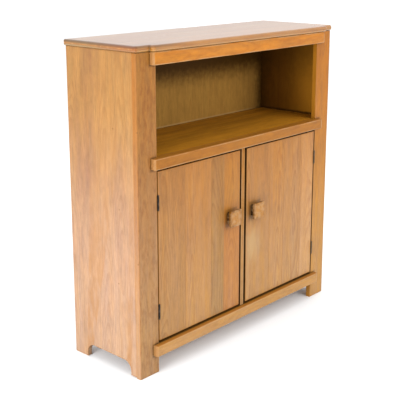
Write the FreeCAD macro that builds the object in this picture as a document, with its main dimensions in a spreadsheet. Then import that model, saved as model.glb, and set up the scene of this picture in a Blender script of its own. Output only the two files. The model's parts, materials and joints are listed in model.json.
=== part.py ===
"""Console cabinet: an open niche above a two-door cupboard, in solid wood.

Frame of the finished part: +X to the right, +Y to the back, +Z up, origin on the floor under
the middle of the overall box. The pieces are drawn in a carcass frame that shares X and Z and
counts Y from the front face of the stiles; every piece's placement carries it into the part.
"""
import FreeCAD, Part
import os
import re

import Sketcher

# Driving sizes in millimetres: name, value, meaning.
SIZES = [
    ("carcass_width", 1020, "over the outer faces of the sides"),
    ("carcass_height", 1060, "floor to the underside of the top"),
    ("carcass_depth", 325, "stile face to the back of the sides"),
    ("top_thickness", 20, "top board"),
    ("top_overhang", 6, "top board past the sides, stiles and rails"),
    ("top_corner_radius", 12, "outer corners of the top, in plan"),
    ("top_inner_radius", 2, "inner corners of the top's steps, in plan"),
    ("top_nose_radius", 9, "rounding of the top's upper edges"),
    ("top_under_radius", 5, "rounding of the top's lower edges"),
    ("head_gap", 1, "shadow gap between the front frame and the top"),
    ("side_thickness", 18, "side panels"),
    ("front_foot", 46, "front foot's length, stile included"),
    ("back_foot", 64, "back foot's length"),
    ("arch_height", 48, "cut-out under the sides"),
    ("arch_radius", 32, "corners of that cut-out"),
    ("stile_width", 84, "front stiles"),
    ("stile_thickness", 18, "front stiles"),
    ("stile_edge_radius", 2.5, "rounding of the stile's outer front edge"),
    ("top_rail_height", 41, "top rail"),
    ("middle_rail_height", 36, "middle rail"),
    ("bottom_rail_height", 38, "bottom rail"),
    ("rail_proud", 18, "rail face in front of the stile face"),
    ("rail_lap", 25, "rail over the stile at each end"),
    ("rail_end_radius", 8, "upright front edges of the rail's ends"),
    ("rail_edge_radius", 3, "long front edges of the rails"),
    ("bottom_rail_level", 64, "floor to the underside of the bottom rail"),
    ("niche_level", 727, "floor to the top of the middle rail and niche shelf"),
    ("shelf_thickness", 18, "shelves and cupboard floor"),
    ("housing_depth", 6, "grooves that hold the shelves"),
    ("cupboard_shelf_level", 390, "floor to the top of the cupboard shelves"),
    ("cupboard_shelf_setback", 60, "stile face to the front of those shelves"),
    ("partition_thickness", 18, "upright between the doors"),
    ("partition_setback", 1.5, "stile face to the partition's front edge"),
    ("small_edge_radius", 1.5, "broken edges of doors, partition and stiles"),
    ("back_thickness", 8, "back panel"),
    ("back_rebate", 9, "width of the rebate that holds it"),
    ("back_play", 0.2, "back panel's side play in the rebates"),
    ("batten_size", 22, "square battens under the top"),
    ("door_thickness", 18, "door boards"),
    ("door_hinge_gap", 4, "between stile and door"),
    ("door_meeting_gap", 9.5, "between door and partition"),
    ("door_foot_gap", 7, "between door and bottom rail"),
    ("door_head_gap", 10, "between door and middle rail"),
    ("left_board_1", 125, "left door's first board, counted from the hinge; the second takes the rest"),
    ("left_board_3", 67, "left door's third board"),
    ("left_board_4", 84.5, "left door's fourth board, which carries the knob"),
    ("right_board_1", 76, "right door's first board, counted from the hinge; the second takes the rest"),
    ("right_board_3", 84, "right door's third board"),
    ("right_board_4", 133.5, "right door's fourth board, which carries the knob"),
    ("cleat_height", 45, "cleats behind the doors"),
    ("cleat_thickness", 16, "cleats behind the doors"),
    ("cleat_inset", 40, "door's edge to the cleat's end"),
    ("cleat_bevel", 5, "slope round the cleat's back"),
    ("cleat_level", 104, "door's end to the cleat's middle"),
    ("knob_width", 59, "square head of the knob"),
    ("knob_projection", 25, "knob face in front of the door"),
    ("knob_head", 11, "thickness of the head"),
    ("knob_undercut", 9, "neck inside the head, all round"),
    ("knob_corner", 6, "head's corners"),
    ("knob_edge", 3, "head's front edges"),
    ("knob_cove", 4, "hollow between neck and head"),
    ("knob_from_middle", 65, "knob's centre from the cabinet's middle"),
    ("knob_level", 450, "floor to the knob's centre"),
    ("hinge_height", 50, "butt hinges"),
    ("hinge_level", 102, "door's end to the hinge's middle"),
    ("leaf_width", 17, "pin's axis to the leaf's back edge"),
    ("leaf_thickness", 1.6, "hinge leaves"),
    ("knuckle_diameter", 7, "hinge barrel"),
    ("knuckle_play", 0.3, "between two knuckles"),
    ("pin_diameter", 3.2, "hinge pin"),
    ("pin_play", 0.1, "hinge pin in the knuckles, all round"),
    ("pin_setout", 1.5, "pin's axis in front of the stile face"),
    ("pin_head_diameter", 5.4, "hinge pin's head"),
    ("pin_head_height", 1.2, "hinge pin's head"),
    ("hinge_screw_pitch", 30, "between the screws of a leaf"),
    ("screw_diameter", 3, "shank of the wood screws"),
    ("screw_head_diameter", 6, "head of the wood screws"),
    ("screw_head_height", 1.5, "head of the wood screws"),
    ("screw_play", 0.1, "screws in their holes, all round"),
    ("hinge_screw_length", 16, "hinge leaves"),
    ("cleat_screw_length", 27, "cleat into door board"),
    ("knob_screw_length", 30, "door board into knob"),
    ("back_screw_length", 20, "back panel"),
    ("back_screw_inset", 240, "side to the first screw along a shelf's back edge"),
    ("batten_screw_length", 32, "battens into top and sides"),
    ("batten_screw_margin", 50, "batten's end to its first screw"),
    ("catch_width", 30, "catch block, out from the partition"),
    ("catch_height", 40, "catch block"),
    ("catch_depth", 16, "catch block"),
    ("catch_drop", 32, "niche shelf's underside to the catch block"),
    ("catch_gap", 0.3, "between catch block and strike"),
    ("catch_screw_length", 37, "catch block into partition"),
    ("catch_screw_pitch", 22, "between the screws of a catch block"),
    ("strike_inset", 0.5, "catch block's end to the strike plate's edge"),
    ("strike_width", 18, "strike plate on the door"),
    ("strike_height", 34, "strike plate on the door"),
    ("strike_thickness", 1.6, "strike plate on the door"),
    ("strike_screw_length", 12, "strike plate"),
]

# Places worked out from the sizes. Those that mirror are written for the right half.
PLACES = {
    "face_y": "(max(rail_proud + top_overhang; knob_projection) - carcass_depth) / 2",
    "half": "carcass_width / 2",
    "side_inner": "half - side_thickness",
    "stile_inner": "half - stile_width",
    "rail_end": "stile_inner + rail_lap",
    "frame_top": "carcass_height - head_gap",
    "top_end": "half + top_overhang",
    "top_step": "rail_end + top_overhang",
    "back_front": "carcass_depth - back_thickness",
    "floor_level": "bottom_rail_level + bottom_rail_height",
    "floor_under": "floor_level - shelf_thickness",
    "niche_under": "niche_level - shelf_thickness",
    "middle_rail_level": "niche_level - middle_rail_height",
    "top_rail_level": "frame_top - top_rail_height",
    "cupboard_shelf_under": "cupboard_shelf_level - shelf_thickness",
    "half_partition": "partition_thickness / 2",
    "housing_end": "side_inner + housing_depth",
    "rebate_end": "side_inner + back_rebate",
    "batten_under": "carcass_height - batten_size",
    "batten_inner": "side_inner - batten_size",
    "door_hinge_edge": "stile_inner - door_hinge_gap",
    "door_free_edge": "half_partition + door_meeting_gap",
    "door_bottom": "floor_level + door_foot_gap",
    "door_top": "middle_rail_level - door_head_gap",
    "lower_hinge": "door_bottom + hinge_level",
    "upper_hinge": "door_top - hinge_level",
    "lower_cleat": "door_bottom + cleat_level",
    "upper_cleat": "door_top - cleat_level",
    "cleat_back": "door_thickness + cleat_thickness",
    "knuckle_radius": "knuckle_diameter / 2",
    "pin_x": "stile_inner - door_hinge_gap / 2",
    "pin_y": "0 - pin_setout",
    "leaf_front": "pin_y + knuckle_radius + knuckle_play",
    "leaf_back": "pin_y + leaf_width",
    "leaf_screw_y": "(leaf_front + leaf_back) / 2",
    "knuckle_height": "hinge_height / 3",
    "neck_front": "knob_head - knob_projection",
    "catch_top": "niche_under - catch_drop",
    "catch_level": "catch_top - catch_height / 2",
    "catch_front": "door_thickness + strike_thickness + catch_gap",
    "catch_y": "catch_front + catch_depth / 2",
    "strike_outer": "half_partition + catch_width - strike_inset",
    "strike_inner": "strike_outer - strike_width",
    "strike_x": "strike_outer - strike_width / 2",
}

NAMES = {name for name, _, _ in SIZES}
SIDES = (("left", -1), ("right", 1))
LEVELS = ("upper", "lower")
BOARD_COUNT = 4
PLANES = {"X": "YZ_Plane", "Y": "XZ_Plane", "Z": "XY_Plane"}
DIRECTIONS = {
    "+X": FreeCAD.Vector(1, 0, 0), "-X": FreeCAD.Vector(-1, 0, 0),
    "+Y": FreeCAD.Vector(0, 1, 0), "-Y": FreeCAD.Vector(0, -1, 0),
    "+Z": FreeCAD.Vector(0, 0, 1), "-Z": FreeCAD.Vector(0, 0, -1),
}
TOUCH = 1e-4
SCREW_SIDES = 6
SKETCH_START = 100

doc = FreeCAD.newDocument("ConsoleCabinet")
sheet = doc.addObject("Spreadsheet::Sheet", "Sizes")
for row, (name, millimetres, meaning) in enumerate(SIZES, start=1):
    sheet.set(f"A{row}", name)
    sheet.set(f"B{row}", str(millimetres))
    sheet.setAlias(f"B{row}", name)
    sheet.set(f"C{row}", meaning)
doc.recompute()
pieces = []


def formula(text):
    """Spell out a formula of sizes and places as an expression on the sheet's cells."""
    def spelled(match):
        word = match.group()
        if word in PLACES:
            return f"({formula(PLACES[word])})"
        return f"Sizes.{word}" if word in NAMES else word
    return re.sub(r"[a-z_][a-z_0-9]*", spelled, str(text))


def bind(thing, **sizes):
    """Bind properties, with __ for the dot in a path such as Placement.Base.x."""
    for path, text in sizes.items():
        thing.setExpression(path.replace("__", "."), formula(text))


def mirrored(side, low, high):
    """A span in X, written for the right half, on the given side."""
    return (low, high) if side > 0 else (f"-({high})", f"-({low})")


def box_corners(u_span, v_span):
    (u0, u1), (v0, v1) = u_span, v_span
    return [(u0, v0), (u1, v0), (u1, v1), (u0, v1)]


def new_body(label):
    """An empty body under the piece's name, placed from the carcass frame into the part."""
    body = doc.addObject("PartDesign::Body", label)
    body.Label = label
    bind(body, Placement__Base__y="face_y")
    pieces.append(body)
    return body


def outline(body, axis, level, corners):
    """A closed sketch of straight lines, square to the axis at a level along it."""
    sketch = body.newObject("Sketcher::SketchObject", f"{body.Label}_outline")
    plane = next(item for item in body.Origin.OriginFeatures if item.Role == PLANES[axis])
    sketch.AttachmentSupport = [(plane, "")]
    sketch.MapMode = "FlatFace"
    sign = "-1" if axis == "Y" else "1"
    bind(sketch, AttachmentOffset__Base__z=f"{sign} * ({level})")
    turn = FreeCAD.Rotation(FreeCAD.Vector(0, 0, 1), 360 / len(corners))
    start = FreeCAD.Vector(SKETCH_START, 0, 0)
    for _ in corners:
        end = turn.multVec(start)
        sketch.addGeometry(Part.LineSegment(start, end))
        start = end
    for index, (u, v) in enumerate(corners):
        before = (index - 1) % len(corners)
        sketch.addConstraint(Sketcher.Constraint("Coincident", before, 2, index, 1))
        for kind, text in (("DistanceX", u), ("DistanceY", v)):
            number = sketch.addConstraint(Sketcher.Constraint(kind, -1, 1, index, 1, 1.0))
            sketch.setExpression(f"Constraints[{number}]", formula(text))
    return sketch


def pad(body, axis, span, corners):
    """Extrude an outline along the axis, from the low end of the span to the high end."""
    low, high = span
    feature = body.newObject("PartDesign::Pad", f"{body.Label}_pad")
    sketch = outline(body, axis, low, corners)
    feature.Profile = (sketch, [""])
    feature.Reversed = axis == "Y"
    bind(feature, Length=f"({high}) - ({low})")
    doc.recompute()
    return body


def pocket(body, axis, span, corners):
    """Cut an outline out of the body along the axis, between the ends of the span."""
    low, high = span
    before = body.Shape.Volume
    feature = body.newObject("PartDesign::Pocket", f"{body.Label}_pocket")
    sketch = outline(body, axis, low if axis == "Y" else high, corners)
    feature.Profile = (sketch, [""])
    bind(feature, Length=f"({high}) - ({low})")
    doc.recompute()
    if body.Shape.Volume >= before:
        raise RuntimeError(f"{body.Label}: a pocket cuts nothing")
    return body


def board(label, x, y, z):
    """A plain rectangular board, its outline across the grain padded along X."""
    return pad(new_body(label), "X", x, box_corners(y, z))


def solid(body, kind, at, direction, **sizes):
    """Add or cut a cylinder or prism that stands at a point along a direction."""
    feature = body.newObject(f"PartDesign::{kind}", f"{body.Label}_{kind}")
    turn = FreeCAD.Rotation(DIRECTIONS["+Z"], DIRECTIONS[direction])
    feature.Placement = FreeCAD.Placement(FreeCAD.Vector(), turn)
    x, y, z = at
    bind(feature, Placement__Base__x=x, Placement__Base__y=y, Placement__Base__z=z, **sizes)
    doc.recompute()
    return body


def soften(body, radius, chosen):
    """Round the edges of the finished shape that the test picks."""
    edges = [f"Edge{i}" for i, edge in enumerate(body.Shape.Edges, start=1) if chosen(edge)]
    if not edges:
        raise RuntimeError(f"{body.Label}: no edge to round")
    feature = body.newObject("PartDesign::Fillet", f"{body.Label}_rounding")
    feature.Base = (body.Tip.BaseFeature if body.Tip == feature else body.Tip, edges)
    bind(feature, Radius=radius)
    doc.recompute()
    return body


def edge_picker(body, along=None, **ends):
    """A test for edges along an axis that lie at the named ends of the body, as x='low'."""
    limits = {}
    for name in "xyz":
        places = [getattr(vertex.Point, name) for vertex in body.Shape.Vertexes]
        limits[name, "low"] = min(places)
        limits[name, "high"] = max(places)

    def chosen(edge):
        points = [vertex.Point for vertex in edge.Vertexes]
        if along:
            run = points[-1] - points[0]
            across = [abs(getattr(run, name)) for name in "xyz" if name != along]
            if len(points) < 2 or max(across) > TOUCH:
                return False
        return all(
            abs(getattr(point, name) - limits[name, end]) < TOUCH
            for name, end in ends.items() for point in points
        )
    return chosen


def sink(body, at, direction, length):
    """Cut the hole of a screw whose head lies flush at the point."""
    solid(body, "SubtractivePrism", at, direction, Polygon=SCREW_SIDES,
          Circumradius="screw_head_diameter / 2 + screw_play", Height="screw_head_height")
    return drill(body, at, direction, length)


def drill(body, at, direction, length):
    """Cut the straight hole of a screw from the point of its head to its tip."""
    return solid(body, "SubtractivePrism", at, direction, Polygon=SCREW_SIDES,
                 Circumradius="screw_diameter / 2 + screw_play", Height=length)


def screw(at, direction, length):
    """A sunk wood screw in plain form: a flat head and a shank, with few sides."""
    turn = FreeCAD.Rotation(DIRECTIONS["+Z"], DIRECTIONS[direction])
    head = doc.addObject("Part::Prism", "screw_head")
    shank = doc.addObject("Part::Prism", "screw_shank")
    bind(head, Circumradius="screw_head_diameter / 2", Height="screw_head_height")
    bind(shank, Circumradius="screw_diameter / 2", Height=length)
    x, y, z = at
    for item in (head, shank):
        item.Polygon = SCREW_SIDES
        item.Placement = FreeCAD.Placement(FreeCAD.Vector(), turn)
        bind(item, Placement__Base__x=x, Placement__Base__y=y, Placement__Base__z=z)
    whole = doc.addObject("Part::Fuse", "screw")
    whole.Base = head
    whole.Tool = shank
    whole.Refine = True
    return whole


def screw_group(label, places, length):
    """Identical screws, one solid for each (point, direction), under one name."""
    group = doc.addObject("Part::Compound", label)
    group.Label = label
    group.Links = [screw(at, direction, length) for at, direction in places]
    bind(group, Placement__Base__y="face_y")
    pieces.append(group)
    return group


def spread(low, high, count):
    """Evenly spaced places from low to high."""
    return [f"({low}) + (({high}) - ({low})) * {step} / {count - 1}" for step in range(count)]


# Places of the screws, shared by the screws and their holes.
def leaf_screws(side, z, inward):
    """Two screws of a hinge leaf: inward is +1 for the door's leaf, -1 for the stile's."""
    x = f"{side} * (pin_x - {inward} * (knuckle_radius - leaf_thickness))"
    direction = "-X" if side * inward > 0 else "+X"
    return [((x, "leaf_screw_y", f"{z} + {step} * hinge_screw_pitch / 2"), direction) for step in (-1, 1)]


def board_edges(name, side, number):
    """Span in X of a door board, counted from the hinge."""
    seams = [
        "door_hinge_edge", f"door_hinge_edge - {name}_board_1",
        f"door_free_edge + {name}_board_4 + {name}_board_3", f"door_free_edge + {name}_board_4",
        "door_free_edge",
    ]
    return mirrored(side, seams[number], seams[number - 1])


def cleat_span(side):
    return mirrored(side, "door_free_edge + cleat_inset", "door_hinge_edge - cleat_inset")


def cleat_screws(name, side, level):
    """One screw through the cleat into each door board, in the middle of their common stretch."""
    cleat_low, cleat_high = cleat_span(side)
    places = []
    for number in range(1, BOARD_COUNT + 1):
        low, high = board_edges(name, side, number)
        x = f"(max({low}; {cleat_low}) + min({high}; {cleat_high})) / 2"
        places.append(((x, "cleat_back", f"{level}_cleat"), "-Y"))
    return places


def knob_screw(side):
    return ((f"{side} * knob_from_middle", "door_thickness", "knob_level"), "-Y")


def strike_screw(side):
    return ((f"{side} * strike_x", "door_thickness + strike_thickness", "catch_level"), "-Y")


def catch_screws(side):
    x = f"{side} * (half_partition + catch_width)"
    direction = "-X" if side > 0 else "+X"
    return [((x, "catch_y", f"catch_level + {step} * catch_screw_pitch / 2"), direction) for step in (-1, 1)]


def side_back_screws(side):
    """One screw behind each space between the shelves, so that none meets a shelf's end."""
    spaces = (("floor_level", "cupboard_shelf_under"), ("cupboard_shelf_level", "niche_under"),
              ("niche_level", "batten_under"))
    x = f"{side} * (side_inner + back_rebate / 2)"
    return [((x, "carcass_depth", f"({low} + {high}) / 2"), "-Y") for low, high in spaces]


def shelf_back_screws(under):
    columns = spread("back_screw_inset - side_inner", "side_inner - back_screw_inset", 3)
    return [((x, "carcass_depth", f"{under} + shelf_thickness / 2"), "-Y") for x in columns]


def batten_top_screws(side):
    rows = spread("stile_thickness + batten_screw_margin", "back_front - batten_screw_margin", 2)
    return [((f"{side} * (side_inner - batten_size / 2)", y, "batten_under"), "+Z") for y in rows]


def batten_side_screws(side):
    rows = spread("stile_thickness + batten_screw_margin * 2", "back_front - batten_screw_margin * 2", 2)
    direction = "+X" if side > 0 else "-X"
    return [((f"{side} * batten_inner", y, "batten_under + batten_size / 2"), direction) for y in rows]


# Carcass.
def side_panel(name, side):
    """Side with its arch, housings for the shelves and a rebate for the back panel."""
    body = new_body(f"{name}_side_panel")
    arch_back = "carcass_depth - back_foot"
    corners = [
        ("stile_thickness", "0"), ("front_foot", "0"), ("front_foot", "arch_height"),
        (arch_back, "arch_height"), (arch_back, "0"), ("carcass_depth", "0"),
        ("carcass_depth", "carcass_height"), ("stile_thickness", "carcass_height"),
    ]
    pad(body, "X", mirrored(side, "side_inner", "half"), corners)
    arch_top = sheet.arch_height
    ends = (body.Shape.BoundBox.YMin, body.Shape.BoundBox.YMax)

    def arch_corner(edge):
        points = [vertex.Point for vertex in edge.Vertexes]
        on_arch = all(abs(point.z - arch_top) < TOUCH for point in points)
        return on_arch and abs(points[0].y - points[1].y) < TOUCH and ends[0] < points[0].y < ends[1]
    soften(body, "arch_radius", arch_corner)
    housing = mirrored(side, "side_inner", "housing_end")
    for low, high in (("floor_under", "floor_level"), ("niche_under", "niche_level")):
        pocket(body, "X", housing, box_corners(("stile_thickness", "back_front"), (low, high)))
    pocket(body, "X", housing, box_corners(
        ("cupboard_shelf_setback", "back_front"), ("cupboard_shelf_under", "cupboard_shelf_level")))
    pocket(body, "X", mirrored(side, "side_inner", "rebate_end"), box_corners(
        ("back_front", "carcass_depth"), ("floor_under", "carcass_height")))
    for at, direction in side_back_screws(side):
        drill(body, at, direction, "back_screw_length")
    for at, direction in batten_side_screws(side):
        drill(body, at, direction, "batten_screw_length")


def front_stile(name, side):
    """Stile applied to the side's front edge, with its edges eased and the hinge leaves let in."""
    body = board(f"{name}_front_stile", mirrored(side, "stile_inner", "half"),
                 ("0", "stile_thickness"), ("0", "frame_top"))
    outer, inner = ("low", "high") if side < 0 else ("high", "low")
    soften(body, "stile_edge_radius", edge_picker(body, "z", x=outer, y="low"))
    soften(body, "small_edge_radius", edge_picker(body, "z", x=inner, y="low"))
    for level in LEVELS:
        z = f"{level}_hinge"
        pocket(body, "X", mirrored(side, "stile_inner", "pin_x + knuckle_radius"), box_corners(
            ("0", "leaf_back"), (f"{z} - hinge_height / 2", f"{z} + hinge_height / 2")))
        for at, direction in leaf_screws(side, z, -1):
            drill(body, at, direction, "hinge_screw_length")


def rail(word):
    """Rail between the stiles whose proud front laps over them, with rounded ends and edges."""
    corners = [
        ("-(stile_inner)", "stile_thickness"), ("-(stile_inner)", "0"), ("-(rail_end)", "0"),
        ("-(rail_end)", "0 - rail_proud"), ("rail_end", "0 - rail_proud"), ("rail_end", "0"),
        ("stile_inner", "0"), ("stile_inner", "stile_thickness"),
    ]
    level = f"{word}_rail_level"
    body = pad(new_body(f"{word}_rail"), "Z", (level, f"{level} + {word}_rail_height"), corners)
    for end in ("low", "high"):
        soften(body, "rail_end_radius", edge_picker(body, "z", x=end, y="low"))
    for end in ("low", "high"):
        soften(body, "rail_edge_radius", edge_picker(body, "x", y="low", z=end))


def top_board():
    """Top whose front steps forward over the rails, rounded on all edges but the back."""
    corners = [
        ("-(top_end)", "carcass_depth"), ("-(top_end)", "0 - top_overhang"),
        ("-(top_step)", "0 - top_overhang"), ("-(top_step)", "0 - top_overhang - rail_proud"),
        ("top_step", "0 - top_overhang - rail_proud"), ("top_step", "0 - top_overhang"),
        ("top_end", "0 - top_overhang"), ("top_end", "carcass_depth"),
    ]
    body = pad(new_body("top_board"), "Z", ("carcass_height", "carcass_height + top_thickness"), corners)
    box = body.Shape.BoundBox
    step = sheet.carcass_width / 2 - sheet.stile_width + sheet.rail_lap + sheet.top_overhang

    def upright(edge):
        return abs(edge.Vertexes[0].Z - edge.Vertexes[1].Z) > TOUCH and edge.Vertexes[0].Y < box.YMax - TOUCH

    def inner_corner(edge):
        front = edge.Vertexes[0].Y < box.YMin + TOUCH
        return upright(edge) and not front and abs(abs(edge.Vertexes[0].X) - step) < TOUCH

    def outer_corner(edge):
        return upright(edge) and not (edge.Vertexes[0].Y > box.YMin + TOUCH
                                      and abs(edge.Vertexes[0].X) < step + sheet.top_inner_radius + TOUCH)
    soften(body, "top_inner_radius", inner_corner)
    soften(body, "top_corner_radius", outer_corner)
    for level, radius in ((box.ZMin, "top_under_radius"), (box.ZMax, "top_nose_radius")):
        soften(body, radius, lambda edge: all(
            abs(vertex.Z - level) < TOUCH for vertex in edge.Vertexes
        ) and edge.CenterOfMass.y < box.YMax - TOUCH)
    for _, side in SIDES:
        for at, direction in batten_top_screws(side):
            drill(body, at, direction, "batten_screw_length")


def shelves_and_floor():
    """Niche shelf and cupboard floor, from side to side in their housings, behind the rails."""
    full = ("-(housing_end)", "housing_end")
    depth = ("stile_thickness", "back_front")
    for label, low, high in (
        ("niche_shelf", "niche_under", "niche_level"), ("cupboard_floor", "floor_under", "floor_level"),
    ):
        body = board(label, full, depth, (low, high))
        for at, direction in shelf_back_screws(low):
            drill(body, at, direction, "back_screw_length")
    for name, side in SIDES:
        board(f"{name}_cupboard_shelf", mirrored(side, "half_partition - housing_depth", "housing_end"),
              ("cupboard_shelf_setback", "back_front"), ("cupboard_shelf_under", "cupboard_shelf_level"))


def centre_partition():
    """Upright that stands on floor and bottom rail, notched round the middle rail."""
    corners = [
        ("partition_setback", "floor_level"), ("back_front", "floor_level"), ("back_front", "niche_under"),
        ("stile_thickness", "niche_under"), ("stile_thickness", "middle_rail_level"),
        ("partition_setback", "middle_rail_level"),
    ]
    body = pad(new_body("centre_partition"), "X", ("-(half_partition)", "half_partition"), corners)
    for end in ("low", "high"):
        soften(body, "small_edge_radius", edge_picker(body, "z", x=end, y="low"))
    for _, side in SIDES:
        pocket(body, "X", mirrored(side, "half_partition - housing_depth", "half_partition"), box_corners(
            ("cupboard_shelf_setback", "back_front"), ("cupboard_shelf_under", "cupboard_shelf_level")))
        for at, direction in catch_screws(side):
            drill(body, at, direction, "catch_screw_length")


def back_panel():
    """Thin panel in the rebates of the sides, screwed to sides, shelf and floor."""
    body = board("back_panel", ("back_play - rebate_end", "rebate_end - back_play"),
                 ("back_front", "carcass_depth"), ("floor_under", "carcass_height"))
    places = [*side_back_screws(-1), *side_back_screws(1),
              *shelf_back_screws("niche_under"), *shelf_back_screws("floor_under")]
    for at, direction in places:
        sink(body, at, direction, "back_screw_length")
    screw_group("back_panel_screws", places, "back_screw_length")


def top_battens():
    """Square battens in the corners under the top, screwed to the top and to the sides."""
    places = []
    for name, side in SIDES:
        body = board(f"{name}_top_batten", mirrored(side, "batten_inner", "side_inner"),
                     ("stile_thickness", "back_front"), ("batten_under", "carcass_height"))
        here = [*batten_top_screws(side), *batten_side_screws(side)]
        for at, direction in here:
            sink(body, at, direction, "batten_screw_length")
        places += here
    screw_group("top_batten_screws", places, "batten_screw_length")


# Doors.
def door_boards(name, side):
    """Four upright boards, edge to edge, with the door's outline eased round the front."""
    for number in range(1, BOARD_COUNT + 1):
        body = board(f"{name}_door_board_{number}", board_edges(name, side, number),
                     ("0", "door_thickness"), ("door_bottom", "door_top"))
        outer, inner = ("low", "high") if side < 0 else ("high", "low")
        picks = [edge_picker(body, "x", y="low", z="low"), edge_picker(body, "x", y="low", z="high")]
        if number == 1:
            picks.append(edge_picker(body, "z", x=outer, y="low"))
        if number == BOARD_COUNT:
            picks.append(edge_picker(body, "z", x=inner, y="low"))
        soften(body, "small_edge_radius", lambda edge: any(pick(edge) for pick in picks))
        for level in LEVELS:
            at, direction = cleat_screws(name, side, level)[number - 1]
            drill(body, at, direction, "cleat_screw_length")
            if number == 1:
                z = f"{level}_hinge"
                pocket(body, "X", mirrored(side, "pin_x - knuckle_radius", "door_hinge_edge"), box_corners(
                    ("0", "leaf_back"), (f"{z} - hinge_height / 2", f"{z} + hinge_height / 2")))
                for at, direction in leaf_screws(side, z, 1):
                    drill(body, at, direction, "hinge_screw_length")
        if number == BOARD_COUNT:
            at, direction = knob_screw(side)
            sink(body, at, direction, "knob_screw_length")
            at, direction = strike_screw(side)
            drill(body, at, direction, "strike_screw_length")


def door_cleats(name, side):
    """Cleats across the door's back, sloped off round the back face."""
    for level in LEVELS:
        z = f"{level}_cleat"
        body = board(f"{name}_door_{level}_cleat", cleat_span(side), ("door_thickness", "cleat_back"),
                     (f"{z} - cleat_height / 2", f"{z} + cleat_height / 2"))
        box = body.Shape.BoundBox
        back = [f"Edge{i}" for i, edge in enumerate(body.Shape.Edges, start=1)
                if all(vertex.Y > box.YMax - TOUCH for vertex in edge.Vertexes)]
        slope = body.newObject("PartDesign::Chamfer", f"{body.Label}_slope")
        slope.Base = (slope.BaseFeature, back)
        bind(slope, Size="cleat_bevel")
        doc.recompute()
        for at, direction in cleat_screws(name, side, level):
            sink(body, at, direction, "cleat_screw_length")
    places = [place for level in LEVELS for place in cleat_screws(name, side, level)]
    screw_group(f"{name}_cleat_screws", places, "cleat_screw_length")


def knob(name, side):
    """Square head on a smaller square neck, with a cove between them for the fingers."""
    body = new_body(f"{name}_knob")
    middle = f"{side} * knob_from_middle"

    def square(half_width):
        return box_corners((f"{middle} - ({half_width})", f"{middle} + ({half_width})"),
                           (f"knob_level - ({half_width})", f"knob_level + ({half_width})"))
    pad(body, "Y", ("0 - knob_projection", "neck_front"), square("knob_width / 2"))
    soften(body, "knob_corner", edge_picker(body, "y"))
    soften(body, "knob_edge", edge_picker(body, y="low"))
    pad(body, "Y", ("neck_front", "0"), square("knob_width / 2 - knob_undercut"))
    middle_x = side * sheet.knob_from_middle
    neck_half = sheet.knob_width / 2 - sheet.knob_undercut
    neck_y = body.Shape.BoundBox.YMin + sheet.knob_head

    def neck_root(edge):
        points = [vertex.Point for vertex in edge.Vertexes]
        return all(abs(point.y - neck_y) < TOUCH and abs(point.x - middle_x) < neck_half + TOUCH
                   and abs(point.z - sheet.knob_level) < neck_half + TOUCH for point in points)
    soften(body, "knob_cove", neck_root)
    at, direction = knob_screw(side)
    drill(body, at, direction, "knob_screw_length")
    screw_group(f"{name}_knob_screw", [knob_screw(side)], "knob_screw_length")


# Hinges and catches.
def hinge_leaf(label, side, level, inward):
    """A leaf with its knuckles: two for the stile's leaf, the middle one for the door's."""
    z = f"{level}_hinge"
    body = new_body(label)
    plate = ("pin_x - knuckle_radius", "pin_x - knuckle_radius + leaf_thickness")
    if inward < 0:
        plate = ("pin_x + knuckle_radius - leaf_thickness", "pin_x + knuckle_radius")
    plate = mirrored(side, *plate)
    whole = (f"{z} - hinge_height / 2", f"{z} + hinge_height / 2")
    pad(body, "Z", whole, box_corners(plate, ("leaf_front", "leaf_back")))
    middle = (f"{z} - knuckle_height / 2 + knuckle_play / 2", f"{z} + knuckle_height / 2 - knuckle_play / 2")
    outer = [(whole[0], f"{z} - knuckle_height / 2 - knuckle_play / 2"),
             (f"{z} + knuckle_height / 2 + knuckle_play / 2", whole[1])]
    pin = (f"{side} * pin_x", "pin_y")
    for low, high in [middle] if inward > 0 else outer:
        pad(body, "Z", (low, high), box_corners(plate, ("pin_y", "leaf_front")))
        solid(body, "AdditiveCylinder", (*pin, low), "+Z",
              Radius="knuckle_radius", Height=f"({high}) - ({low})")
    solid(body, "SubtractiveCylinder", (*pin, whole[0]), "+Z",
          Radius="pin_diameter / 2 + pin_play", Height="hinge_height")
    for at, direction in leaf_screws(side, z, inward):
        sink(body, at, direction, "leaf_thickness")


def hinge_pin(label, side, level):
    """Pin through the three knuckles, its head resting on the upper one."""
    body = new_body(label)
    low = f"{level}_hinge - hinge_height / 2"
    high = f"{level}_hinge + hinge_height / 2"
    pin = (f"{side} * pin_x", "pin_y")
    solid(body, "AdditiveCylinder", (*pin, low), "+Z", Radius="pin_diameter / 2", Height="hinge_height")
    solid(body, "AdditiveCylinder", (*pin, high), "+Z",
          Radius="pin_head_diameter / 2", Height="pin_head_height")


def hinges():
    for name, side in SIDES:
        for level in LEVELS:
            hinge_leaf(f"{name}_{level}_hinge_frame_leaf", side, level, -1)
            hinge_leaf(f"{name}_{level}_hinge_door_leaf", side, level, 1)
            hinge_pin(f"{name}_{level}_hinge_pin", side, level)
        places = [place for level in LEVELS for place in leaf_screws(side, f"{level}_hinge", 1)]
        screw_group(f"{name}_door_hinge_screws", places, "hinge_screw_length")
    places = [place for _, side in SIDES for level in LEVELS
              for place in leaf_screws(side, f"{level}_hinge", -1)]
    screw_group("frame_hinge_screws", places, "hinge_screw_length")


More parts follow.
